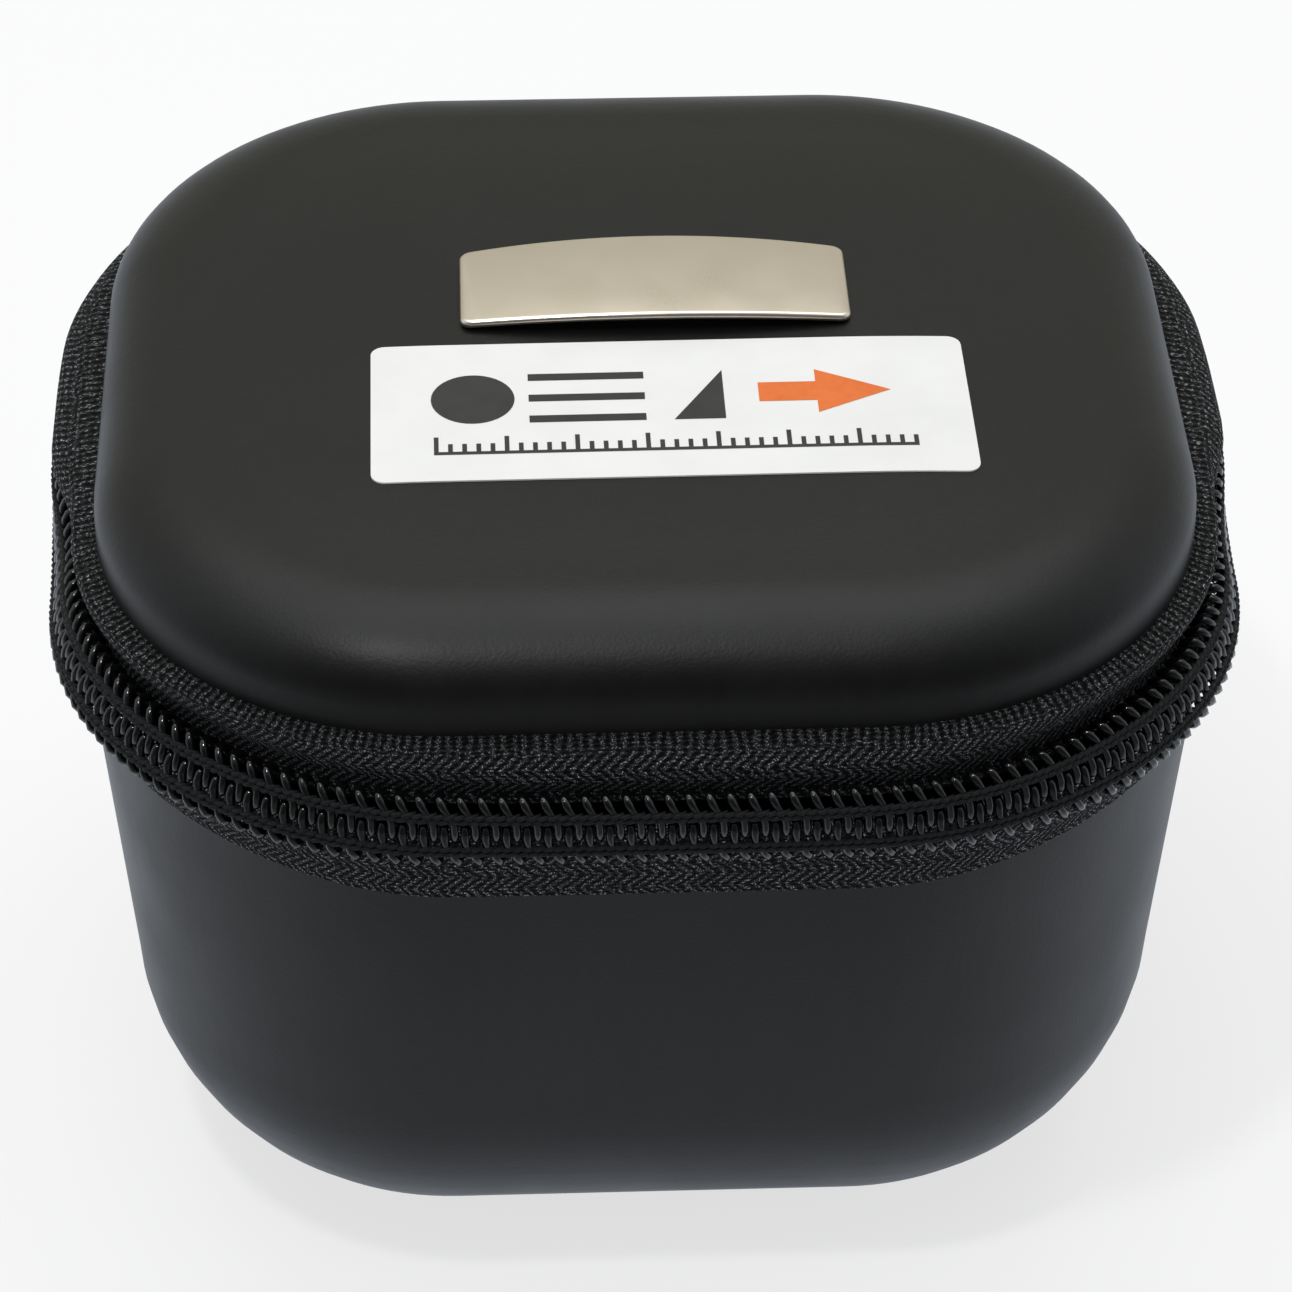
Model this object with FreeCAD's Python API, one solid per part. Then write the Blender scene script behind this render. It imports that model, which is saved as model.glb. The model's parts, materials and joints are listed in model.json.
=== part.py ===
"""Fibre cleaver in its moulded zip case.

A small bench tool that scores and snaps optical fibre, nested in die-cut foam inside a round-cornered
moulded foam case. The case has two thin shells, a sewn coil zip round three and a half sides and a
cloth hinge at the back. Lengths are millimetres, +Z is up, +Y is the hinge side, and the origin is
the middle of the case's footprint on the surface that it stands on.
"""
import FreeCAD
import Part
import math
import os

V = FreeCAD.Vector
UP = V(0, 0, 1)

# Case outline, measured over the zip
CASE_WIDTH = 105.3
CASE_DEPTH = 99.0
CORNER_RADIUS = 35.0

# Base shell
SHELL_WALL = 3.4
BASE_RIM_HEIGHT = 58.0
BASE_INSET = 3.85
BASE_DRAFT = 0.08
BASE_FILLET_ACROSS = 23.4
BASE_FILLET_HEIGHT = 23.0

# Lid shell
LID_INSET = 4.3
LID_RIM_HEIGHT = 67.4
LID_SIDE = 2.5
LID_FILLET_ACROSS = 10.1
LID_FILLET_HEIGHT = 6.2
LID_CROWN = 0.9
LINING = 0.6

# Coil zip
ZIP_HEIGHT = 60.5
CHAIN_WIDTH = 6.4
CHAIN_THICKNESS = 2.4
TOOTH_PITCH = 1.70
TOOTH_ROOT = 1.15
TOOTH_HEAD = 0.52
TOOTH_OVERLAP = 0.55
TAPE = 0.6
TAPE_EDGE_HEIGHT = 50.6
TAPE_LAP_SHARE = 0.8
TAPE_SEAM = 2.6
TAPE_GAP = 1.8
HINGE_STRIP_WIDTH = 58.0
ZIP_CLEARANCE = 0.3
ZIP_FACE = 0.15

# Slider and its pull
BAIL_SPAN = 6.5
BAIL_RISE = 2.0
BAIL_WIRE = 1.2
BAIL_BEND = 0.8
EYE_WALL = 0.75
SLIDER_LENGTH = 10.5
SLIDER_WALL = 1.1
SLIDER_PARK = 56.0
SLIDER_POST = 2.4
PULL_LENGTH = 26.0
PULL_WIDTH = 7.0
PULL_THICKNESS = 1.3
PULL_WINDOW_LENGTH = 5.0
PULL_WINDOW_END = 2.5

# Badge and label on the lid
BADGE_LENGTH = 34.4
BADGE_WIDTH = 12.0
BADGE_THICKNESS = 0.8
BADGE_ARCH = 1.1
BADGE_CENTRE = (1.4, 5.0)
BADGE_CORNER = 1.0
BADGE_EDGE = 0.3
LABEL_LENGTH = 51.5
LABEL_WIDTH = 19.9
LABEL_THICKNESS = 0.15
LABEL_CENTRE = (2.2, -12.9)
LABEL_TURN = 0.35
LABEL_CORNER = 1.2

# Foam inside the base
FOAM_FLOOR_TOP = 12.0
FOAM_TOP = 46.0
FOAM_CLEARANCE = 0.3
POCKET_CLEARANCE = 0.4
NOTCH_LENGTH = 22.0
NOTCH_REACH = 8.0
NOTCH_FLOOR = 20.0

# Cleaver body
BODY_LENGTH = 60.0
BODY_DEPTH = 56.0
BODY_CORNER = 6.0
BODY_HEIGHT = 24.0
BODY_EDGE = 1.0
FOOT_PAD = 1.2
BOTTOM_PLATE = 1.8
CHANNEL_WIDTH = 15.0
CHANNEL_FLOOR = 6.0
CHANNEL_END_WALL = 6.0
FRONT_SILL = 2.0
FIBRE_Y = -2.0
SLACK = 0.1
SCREW_SHANK = 1.2
SCREW_HEAD = 2.2
SCREW_HEAD_DEPTH = 1.0
SCREW_LENGTH = 7.0
SCREW_EDGE = 6.5

# Blade carriage
CARRIAGE_LENGTH = 22.0
CARRIAGE_TOP = 20.0
CARRIAGE_CLEARANCE = 0.4
RAIL_DIAMETER = 2.4
RAIL_SPACING = 9.0
RAIL_HEIGHT = 9.5
RUNNING_FIT = 0.05
BLADE_DIAMETER = 14.0
BLADE_THICKNESS = 0.8
BLADE_SLOT = 1.6
BLADE_BORE = 3.2
BLADE_SCREW_RIM = 1.0
KNOB_WIDTH = 13.0
KNOB_REACH = 7.0
KNOB_HEIGHT = 6.5
KNOB_RIBS = 5

# Fibre clamps
CLAMP_LENGTH = 11.0
CLAMP_DEPTH = 9.0
CLAMP_GAP = 4.0
CLAMP_PAD = 1.0
CLAMP_BLOCK = 3.0
FIBRE_DIAMETER = 0.25
ANVIL_WIDTH = 2.4
ANVIL_DEPTH = 6.0

# Cover arm
ARM_WIDTH = 38.0
ARM_THICKNESS = 6.5
ARM_REACH = 23.0
ARM_LIP = 3.0
ARM_CORNER = 2.0
ARM_SLOPE = 8.0
ARM_NOSE = 2.0
ARM_WINDOW_SIDE = 5.0
ARM_WINDOW_FRONT = 4.0
ARM_WINDOW_BACK = 14.0
ARM_WINDOW_CORNER = 2.0
GRIP_SIDE = 7.0
GRIP_FRONT = 8.4
GRIP_LENGTH = 10.6
GRIP_SINK = 1.0
GRIP_RISE = 0.6
GRIP_CORNER = 1.5
HINGE_PIN = 1.5
HINGE_BARREL = 4.0
HINGE_Y = 21.0
HINGE_HEIGHT = 28.5
EAR_WIDTH = 5.0
EAR_RADIUS = 4.5
EAR_CLEARANCE = 0.3

# Fibre guide plate on the right and scrap bin on the left
GUIDE_WIDTH = 9.0
GUIDE_FRONT = -12.0
GUIDE_BACK = 10.0
GUIDE_THICKNESS = 1.2
GUIDE_LID = 2.2
GUIDE_LUG = 1.5
GUIDE_PIN = 0.6
BIN_WIDTH = 9.0
BIN_FRONT = -20.0
BIN_BACK = 14.0
BIN_WALL = 1.0
BIN_HEIGHT = 16.0
BIN_LID = 1.6
BIN_PIN = 0.5
ROLLER = 1.2

# Levels and offsets that follow from the sizes above
STRAIGHT_X = CASE_WIDTH / 2 - CORNER_RADIUS
STRAIGHT_Y = CASE_DEPTH / 2 - CORNER_RADIUS
LID_TOP = LID_RIM_HEIGHT + LID_SIDE + LID_FILLET_HEIGHT
LID_PEAK = LID_TOP + LID_CROWN
CHAIN_TOP = ZIP_HEIGHT + CHAIN_WIDTH / 2
CHAIN_BOTTOM = ZIP_HEIGHT - CHAIN_WIDTH / 2
CHAIN_BACK = CHAIN_THICKNESS + 0.2
TAPE_LAP_HEIGHT = TAPE_EDGE_HEIGHT + TAPE_LAP_SHARE * (BASE_RIM_HEIGHT - TAPE_EDGE_HEIGHT)
SLIDER_HALF = math.degrees(SLIDER_LENGTH / 2 / CORNER_RADIUS)
ZIP_END_ANGLE = SLIDER_PARK + SLIDER_HALF - SLIDER_POST - 1.2
BODY_BOTTOM = FOAM_FLOOR_TOP + FOOT_PAD + BOTTOM_PLATE
DECK = FOAM_FLOOR_TOP + BODY_HEIGHT
CHANNEL_BASE = FOAM_FLOOR_TOP + CHANNEL_FLOOR
FIBRE_LEVEL = DECK + CLAMP_PAD + FIBRE_DIAMETER / 2
ARM_UNDER = FIBRE_LEVEL + FIBRE_DIAMETER / 2 + CLAMP_PAD + CLAMP_BLOCK
ARM_TOP = ARM_UNDER + ARM_THICKNESS
HINGE_LEVEL = FOAM_FLOOR_TOP + HINGE_HEIGHT
BODY_FRONT = -BODY_DEPTH / 2
BODY_BACK = BODY_DEPTH / 2
BODY_RIGHT = BODY_LENGTH / 2
BODY_LEFT = -BODY_LENGTH / 2
RAIL_LEVEL = FOAM_FLOOR_TOP + RAIL_HEIGHT
SILL_TOP = RAIL_LEVEL + RAIL_DIAMETER
CARRIAGE_FRONT = BODY_FRONT + FRONT_SILL + CARRIAGE_CLEARANCE
CARRIAGE_SIDE = CHANNEL_WIDTH / 2 - CARRIAGE_CLEARANCE
CARRIAGE_ROOF = FOAM_FLOOR_TOP + CARRIAGE_TOP
BLADE_Y = CARRIAGE_FRONT + CARRIAGE_LENGTH / 2
BLADE_LEVEL = FIBRE_LEVEL - FIBRE_DIAMETER / 2 - BLADE_DIAMETER / 2
GUIDE_LEFT = BODY_RIGHT - GUIDE_WIDTH
GUIDE_TOP = DECK + GUIDE_THICKNESS
GUIDE_PIN_Y = GUIDE_BACK - GUIDE_LID
GUIDE_PIN_LEVEL = GUIDE_TOP + ZIP_CLEARANCE + GUIDE_LID / 2
BIN_RIGHT = BODY_LEFT + BIN_WIDTH
BIN_PIN_X = BODY_LEFT + BIN_LID / 2
BIN_PIN_LEVEL = DECK + BIN_LID / 2 + SLACK


def block(x0, x1, y0, y1, z0, z1):
    return Part.makeBox(x1 - x0, y1 - y0, z1 - z0, V(x0, y0, z0))


def rod(radius, start, end):
    start, end = V(*start), V(*end)
    return Part.makeCylinder(radius, (end - start).Length, start, end - start)


def rounded_block(x0, x1, y0, y1, z0, z1, radius):
    """A block with its four upright edges rounded."""
    solid = block(x0, x1, y0, y1, z0, z1)
    upright = [e for e in solid.Edges if abs(e.tangentAt(e.FirstParameter).z) > 0.99]
    return solid.makeFillet(radius, upright)


def face_of(edges):
    return Part.Face(Part.Wire(edges))


def polygon(points):
    """Edges through points given as (inset from the zip's outer face, height)."""
    loop = [V(CORNER_RADIUS - inset, 0, z) for inset, z in points]
    return [Part.makeLine(a, b) for a, b in zip(loop, loop[1:])]


def bend(across, height, centre, turn):
    """A quarter of an oval in the section plane, as two arcs that meet smoothly.

    Turn 1 is the quarter above the centre and -1 the one below it.
    """
    cx, cz = CORNER_RADIUS - centre[0], centre[1]
    chord = math.hypot(across, height)
    side_radius = chord * (chord - across + height) / (2 * across)
    end_radius = chord * (chord + across - height) / (2 * height)
    joint = math.atan2(across, height)

    def point(radius, x, z, angle):
        return V(cx + x + radius * math.cos(angle), 0, cz + turn * (z + radius * math.sin(angle)))

    side = [point(side_radius, across - side_radius, 0, a) for a in (0, joint / 2, joint)]
    end = [point(end_radius, 0, height - end_radius, a)
           for a in (joint, (joint + math.pi / 2) / 2, math.pi / 2)]
    return [Part.Arc(*side).toShape(), Part.Arc(side[-1], *end[1:]).toShape()]


def sector(face, start, end):
    """A section swept round the back right corner, between two angles in degrees from +X."""
    solid = face.copy()
    solid.rotate(V(), UP, start)
    solid.translate(V(STRAIGHT_X, STRAIGHT_Y, 0))
    return solid.revolve(V(STRAIGHT_X, STRAIGHT_Y, 0), UP, end - start)


def ring(face):
    """A section swept right round the case: four straight runs and four corners."""
    pieces = []
    corners = [(1, 1), (-1, 1), (-1, -1), (1, -1)]
    for k in range(4):
        sx, sy = corners[k]
        centre = V(sx * STRAIGHT_X, sy * STRAIGHT_Y, 0)
        section = face.copy()
        section.rotate(V(), UP, 90 * k)
        section.translate(centre)
        run = V(0, -1, 0) if k % 2 == 0 else V(1, 0, 0)
        if k > 1:
            run = run * -1
        length = 2 * (STRAIGHT_Y if k % 2 == 0 else STRAIGHT_X)
        pieces.append(section.extrude(run * length))
        pieces.append(section.revolve(centre, UP, 90))
    return pieces


def band(face):
    """A closed loop of the section, as one solid."""
    pieces = ring(face)
    return pieces[0].fuse(pieces[1:]).removeSplitter()


def filled(face, z0, z1):
    """A section that reaches the corner centres, with the middle filled from z0 to z1."""
    middle = block(-STRAIGHT_X, STRAIGHT_X, -STRAIGHT_Y, STRAIGHT_Y, z0, z1)
    pieces = ring(face)
    return middle.fuse(pieces).removeSplitter()


def base_inset(z):
    """How far the base's outer wall lies inside the zip's outer face at a height."""
    return BASE_INSET + (TAPE_EDGE_HEIGHT - z) * BASE_DRAFT


def bowl(depth, rim):
    """The base's outer form, drawn in by depth, from its floor up to the rim's height."""
    wall = base_inset(BASE_FILLET_HEIGHT) + depth
    flat = base_inset(BASE_FILLET_HEIGHT) + BASE_FILLET_ACROSS
    edges = polygon([(CORNER_RADIUS, depth), (CORNER_RADIUS, rim), (base_inset(rim) + depth, rim),
                     (wall, BASE_FILLET_HEIGHT)])
    edges += bend(flat - wall, BASE_FILLET_HEIGHT - depth, (flat, BASE_FILLET_HEIGHT), -1)
    edges += polygon([(flat, depth), (CORNER_RADIUS, depth)])
    return filled(face_of(Part.sortEdges(edges)[0]), depth, rim)


def dome(depth, rim):
    """The lid's outer form, drawn in by depth, from the rim's height up to the crown."""
    wall = LID_INSET + depth
    flat = LID_INSET + LID_FILLET_ACROSS
    spring = LID_RIM_HEIGHT + LID_SIDE
    edges = polygon([(CORNER_RADIUS, rim), (wall, rim), (wall, spring)])
    edges += bend(flat - wall, LID_FILLET_HEIGHT - depth, (flat, spring), 1)
    reach = CORNER_RADIUS - flat
    crown_radius = (reach ** 2 + LID_CROWN ** 2) / (2 * LID_CROWN)
    sag = crown_radius - math.sqrt(crown_radius ** 2 - (reach / 2) ** 2)
    crown = Part.Arc(V(reach, 0, LID_TOP - depth), V(reach / 2, 0, LID_PEAK - depth - sag),
                     V(0, 0, LID_PEAK - depth))
    edges.append(crown.toShape())
    edges += polygon([(CORNER_RADIUS, LID_PEAK - depth), (CORNER_RADIUS, rim)])
    return filled(face_of(Part.sortEdges(edges)[0]), rim, LID_PEAK - depth)


def back_sector(margin):
    """The space at the back that the cloth hinge takes, widened by margin."""
    half = HINGE_STRIP_WIDTH / 2 + margin
    return block(-half, half, STRAIGHT_Y, CASE_DEPTH, 0, 2 * LID_PEAK)


def chain_stations():
    """Corner centre, shift along the straight and outward angle for each half pitch of the zip."""
    radius = CORNER_RADIUS - CHAIN_THICKNESS / 2
    legs = []
    for k, (sx, sy) in enumerate([(1, 1), (1, -1), (-1, -1), (-1, 1)]):
        centre = V(sx * STRAIGHT_X, sy * STRAIGHT_Y, 0)
        first = ZIP_END_ANGLE if k == 0 else 90.0 - 90.0 * k
        last = -180.0 - ZIP_END_ANGLE if k == 3 else -90.0 * k
        legs.append((centre, first, last, radius * math.radians(first - last)))
        if k < 3:
            legs.append((centre, last, last, 2 * (STRAIGHT_X if k == 1 else STRAIGHT_Y)))
    stations = []
    distance = TOOTH_PITCH / 2
    for centre, first, last, length in legs:
        while distance < length:
            share = distance / length
            angle = first + (last - first) * share
            heading = math.radians(angle)
            along = V(math.sin(heading), -math.cos(heading), 0) * (distance if first == last else 0)
            stations.append((centre, along, angle))
            distance += TOOTH_PITCH / 2
        distance -= length
    return stations


def tooth(side):
    """One wedge of the coil at the section plane; side 1 hangs from the lid, -1 stands on the base."""
    outer = CORNER_RADIUS - ZIP_FACE
    root = side * CHAIN_WIDTH / 2
    head = -side * TOOTH_OVERLAP
    corners = [V(outer, -TOOTH_ROOT / 2, ZIP_HEIGHT + root), V(outer, TOOTH_ROOT / 2, ZIP_HEIGHT + root),
               V(outer, TOOTH_HEAD / 2, ZIP_HEIGHT + head), V(outer, -TOOTH_HEAD / 2, ZIP_HEIGHT + head)]
    return Part.Face(Part.makePolygon(corners + corners[:1])).extrude(V(-CHAIN_THICKNESS, 0, 0))


def coils():
    """Both halves of the coil, each split into the stretch that the slider runs over and the rest."""
    halves = {-1: ([], []), 1: ([], [])}
    for i, (centre, along, angle) in enumerate(chain_stations()):
        side = 1 if i % 2 else -1
        piece = tooth(side)
        piece.rotate(V(), UP, angle)
        piece.translate(centre + along)
        run_over = centre.x > 0 and centre.y > 0
        halves[side][0 if run_over else 1].append(piece)
    return {
        "base_coil_corner": Part.makeCompound(halves[-1][0]),
        "base_coil": Part.makeCompound(halves[-1][1]),
        "lid_coil_corner": Part.makeCompound(halves[1][0]),
        "lid_coil": Part.makeCompound(halves[1][1]),
    }


def tapes():
    """Woven tapes that carry the coil, and the cloth hinge between their ends."""
    back = CHAIN_BACK
    gap = TAPE_GAP / 2
    foot = base_inset(TAPE_EDGE_HEIGHT) - TAPE
    lap = base_inset(TAPE_LAP_HEIGHT) - TAPE
    lower = polygon([(back, ZIP_HEIGHT - gap), (back, CHAIN_BOTTOM), (lap, TAPE_LAP_HEIGHT),
                     (foot, TAPE_EDGE_HEIGHT), (foot + TAPE, TAPE_EDGE_HEIGHT),
                     (lap + TAPE, TAPE_LAP_HEIGHT), (back + TAPE, CHAIN_BOTTOM),
                     (back + TAPE, ZIP_HEIGHT - gap), (back, ZIP_HEIGHT - gap)])
    seat = LID_RIM_HEIGHT
    fold = LID_INSET - 0.1
    upper = polygon([(back, ZIP_HEIGHT + gap), (back, CHAIN_TOP), (fold, seat),
                     (fold + TAPE_SEAM, seat), (fold + TAPE_SEAM, seat - TAPE),
                     (fold + TAPE * 0.8, seat - TAPE), (back + TAPE, CHAIN_TOP),
                     (back + TAPE, ZIP_HEIGHT + gap), (back, ZIP_HEIGHT + gap)])
    bulge = ZIP_FACE
    strip = polygon([(foot, TAPE_EDGE_HEIGHT), (lap, TAPE_LAP_HEIGHT), (bulge, ZIP_HEIGHT),
                     (fold, seat), (fold + TAPE_SEAM, seat), (fold + TAPE_SEAM, seat - TAPE),
                     (fold + TAPE * 0.8, seat - TAPE), (bulge + TAPE, ZIP_HEIGHT),
                     (lap + TAPE, TAPE_LAP_HEIGHT), (foot + TAPE, TAPE_EDGE_HEIGHT),
                     (foot, TAPE_EDGE_HEIGHT)])
    upper_loop = band(face_of(upper)).cut(back_sector(ZIP_CLEARANCE))
    corner = block(STRAIGHT_X, CASE_WIDTH, STRAIGHT_Y, CASE_DEPTH, 0, LID_PEAK)
    return {
        "base_tape": band(face_of(lower)).cut(back_sector(ZIP_CLEARANCE)),
        "lid_tape": upper_loop.cut(corner),
        "lid_tape_corner": upper_loop.common(corner),
        "cloth_hinge": band(face_of(strip)).common(back_sector(0)),
    }


def case_shells():
    """Both moulded shells and the brushed cloth bonded inside them."""
    wall, lined = SHELL_WALL, SHELL_WALL + LINING
    return {
        "base_shell": bowl(0, BASE_RIM_HEIGHT).cut(bowl(wall, BASE_RIM_HEIGHT + 5)),
        "base_lining": bowl(wall, BASE_RIM_HEIGHT).cut(bowl(lined, BASE_RIM_HEIGHT + 5)),
        "lid_shell": dome(0, LID_RIM_HEIGHT).cut(dome(wall, LID_RIM_HEIGHT - 5)),
        "lid_lining": dome(wall, LID_RIM_HEIGHT).cut(dome(lined, LID_RIM_HEIGHT - 5)),
    }


def slider():
    """A channel that grips both halves of the coil, joined by a post past the chain's end."""
    first, last = SLIDER_PARK - SLIDER_HALF, SLIDER_PARK + SLIDER_HALF
    top = CHAIN_TOP + ZIP_CLEARANCE
    bottom = CHAIN_BOTTOM - ZIP_CLEARANCE
    front = -ZIP_CLEARANCE
    lip = CHAIN_BACK - 2 * ZIP_CLEARANCE
    channel = polygon([(front - SLIDER_WALL, bottom - SLIDER_WALL), (lip, bottom - SLIDER_WALL),
                       (lip, bottom), (front, bottom), (front, top), (lip, top),
                       (lip, top + SLIDER_WALL), (front - SLIDER_WALL, top + SLIDER_WALL),
                       (front - SLIDER_WALL, bottom - SLIDER_WALL)])
    rear = CHAIN_BACK + TAPE + ZIP_CLEARANCE
    low, high = BASE_RIM_HEIGHT + ZIP_CLEARANCE, CHAIN_TOP - ZIP_CLEARANCE
    plate = polygon([(rear, low), (rear + SLIDER_WALL, low), (rear + SLIDER_WALL, high), (rear, high),
                     (rear, low)])
    post_half = TAPE_GAP / 2 - 0.2
    post = polygon([(front - 0.2, ZIP_HEIGHT - post_half), (rear + 0.2, ZIP_HEIGHT - post_half),
                    (rear + 0.2, ZIP_HEIGHT + post_half), (front - 0.2, ZIP_HEIGHT + post_half),
                    (front - 0.2, ZIP_HEIGHT - post_half)])
    body = sector(face_of(channel), first, last).fuse([
        sector(face_of(plate), first, last), sector(face_of(post), last - SLIDER_POST, last)])
    bridge = slider_frame(bail())
    return {"zip_slider": body, "slider_bail": bridge, "pull_tab": slider_frame(pull_tab())}


def slider_frame(solid):
    """Moves a solid made at the +X side of a corner, along Y, to where the slider is parked."""
    solid.rotate(V(), UP, SLIDER_PARK)
    solid.translate(V(STRAIGHT_X, STRAIGHT_Y, 0))
    return solid


def bail():
    """The bent wire over the slider that holds the pull."""
    face = CORNER_RADIUS + ZIP_CLEARANCE + SLIDER_WALL
    reach, half, turn = face + BAIL_RISE, BAIL_SPAN / 2, BAIL_BEND
    middle = turn * (1 - math.sqrt(0.5))
    corners = [V(face, -half, ZIP_HEIGHT), V(reach - turn, -half, ZIP_HEIGHT),
               V(reach - middle, middle - half, ZIP_HEIGHT), V(reach, turn - half, ZIP_HEIGHT),
               V(reach, half - turn, ZIP_HEIGHT), V(reach - middle, half - middle, ZIP_HEIGHT),
               V(reach - turn, half, ZIP_HEIGHT), V(face, half, ZIP_HEIGHT)]
    path = Part.Wire([Part.makeLine(*corners[0:2]), Part.Arc(*corners[1:4]).toShape(),
                      Part.makeLine(*corners[3:5]), Part.Arc(*corners[4:7]).toShape(),
                      Part.makeLine(*corners[6:8])])
    section = Part.Wire(Part.makeCircle(BAIL_WIRE / 2, V(face, -BAIL_SPAN / 2, ZIP_HEIGHT), V(1, 0, 0)))
    return path.makePipeShell([section], True, False)


def pull_tab():
    """The metal pull, hanging from the bail by the eye at its top."""
    centre = CORNER_RADIUS + ZIP_CLEARANCE + SLIDER_WALL + BAIL_RISE
    neck = BAIL_SPAN - BAIL_WIRE - 2 * ZIP_CLEARANCE
    eye = rod(BAIL_WIRE / 2 + EYE_WALL, (centre, -neck / 2, ZIP_HEIGHT), (centre, neck / 2, ZIP_HEIGHT))
    x0, x1 = centre - PULL_THICKNESS / 2, centre + PULL_THICKNESS / 2
    shoulder = ZIP_HEIGHT - SLIDER_WALL - CHAIN_WIDTH / 2
    strap = block(x0, x1, -neck / 2, neck / 2, shoulder - 1, ZIP_HEIGHT)
    half = PULL_WIDTH / 2
    tab = block(x0, x1, -half, half, ZIP_HEIGHT - PULL_LENGTH, shoulder)
    corners = [e for e in tab.Edges if abs(e.tangentAt(e.FirstParameter).x) > 0.99]
    tab = tab.makeFillet(half * 0.6, corners)
    window_low = ZIP_HEIGHT - PULL_LENGTH + PULL_WINDOW_END
    window = block(x0 - 1, x1 + 1, -half / 3, half / 3, window_low, window_low + PULL_WINDOW_LENGTH)
    bore = rod(BAIL_WIRE / 2 + RUNNING_FIT, (centre, -half, ZIP_HEIGHT), (centre, half, ZIP_HEIGHT))
    return tab.fuse([strap, eye]).cut(window).cut(bore)


def rim_edge(edge, cx, cy):
    """Whether an edge of the badge lies on its outline, and not across its top."""
    spot = edge.CenterOfMass
    at_end = abs(spot.x - cx) > BADGE_LENGTH / 2 - BADGE_CORNER
    return at_end or abs(spot.y - cy) > BADGE_WIDTH / 2 - BADGE_CORNER


def lid_trim():
    """The arched metal badge and the thin label on the lid."""
    cx, cy = BADGE_CENTRE
    half = BADGE_LENGTH / 2
    seat = LID_PEAK
    lower = Part.Arc(V(cx - half, 0, seat), V(cx, 0, seat + BADGE_ARCH), V(cx + half, 0, seat))
    rise = BADGE_THICKNESS
    upper = Part.Arc(V(cx - half, 0, seat + rise), V(cx, 0, seat + BADGE_ARCH + rise),
                     V(cx + half, 0, seat + rise))
    ends = [Part.makeLine(V(cx - half, 0, seat), V(cx - half, 0, seat + rise)),
            Part.makeLine(V(cx + half, 0, seat), V(cx + half, 0, seat + rise))]
    section = face_of(Part.sortEdges([lower.toShape(), upper.toShape()] + ends)[0])
    section.translate(V(0, cy - BADGE_WIDTH / 2, 0))
    badge = section.extrude(V(0, BADGE_WIDTH, 0))
    upright = [e for e in badge.Edges if abs(e.tangentAt(e.FirstParameter).z) > 0.99]
    badge = badge.makeFillet(BADGE_CORNER, upright)
    crest = [e for e in badge.Edges if e.CenterOfMass.z > seat + BADGE_THICKNESS - 0.02
             and abs(e.tangentAt(e.FirstParameter).z) < 0.9 and rim_edge(e, cx, cy)]
    badge = badge.makeFillet(BADGE_EDGE, crest)
    lx, ly = LABEL_LENGTH / 2, LABEL_WIDTH / 2
    outline = rounded_block(-lx, lx, -ly, ly, LID_TOP - 2, LID_PEAK + 5, LABEL_CORNER)
    outline.rotate(V(), UP, LABEL_TURN)
    outline.translate(V(*LABEL_CENTRE, 0))
    label = dome(-LABEL_THICKNESS, LID_RIM_HEIGHT).cut(dome(0, LID_RIM_HEIGHT - 1)).common(outline)
    return {"badge": badge, "lid_label": label}


def foam():
    """Two die-cut foam layers: a floor, and an insert with the tool's pocket and its notches."""
    depth = SHELL_WALL + LINING + FOAM_CLEARANCE
    stock = bowl(depth, FOAM_TOP)
    floor = stock.common(block(-CASE_WIDTH, CASE_WIDTH, -CASE_DEPTH, CASE_DEPTH, 0, FOAM_FLOOR_TOP))
    insert = stock.common(block(-CASE_WIDTH, CASE_WIDTH, -CASE_DEPTH, CASE_DEPTH, FOAM_FLOOR_TOP, FOAM_TOP))
    x, y = BODY_RIGHT + POCKET_CLEARANCE, BODY_BACK + POCKET_CLEARANCE
    pocket = rounded_block(-x, x, -y, y, 0, FOAM_TOP + 1, BODY_CORNER + POCKET_CLEARANCE)
    half = NOTCH_LENGTH / 2
    sides = rounded_block(-x - NOTCH_REACH, x + NOTCH_REACH, -half, half, NOTCH_FLOOR, FOAM_TOP + 1, 4)
    front = rounded_block(-half, half, -y - NOTCH_REACH, 0, FOAM_FLOOR_TOP + 2, FOAM_TOP + 1, 4)
    return {"foam_floor": floor, "foam_insert": insert.cut(pocket).cut(sides).cut(front)}


def mirrored(solid):
    """The solid and its copy on the other side of the middle plane, as one group."""
    other = solid.mirror(V(), V(1, 0, 0))
    return Part.makeCompound([solid, other])


def screw_places():
    x, y = BODY_RIGHT - SCREW_EDGE, BODY_BACK - SCREW_EDGE
    return [(x, y), (-x, y), (-x, -y), (x, -y)]


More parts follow.
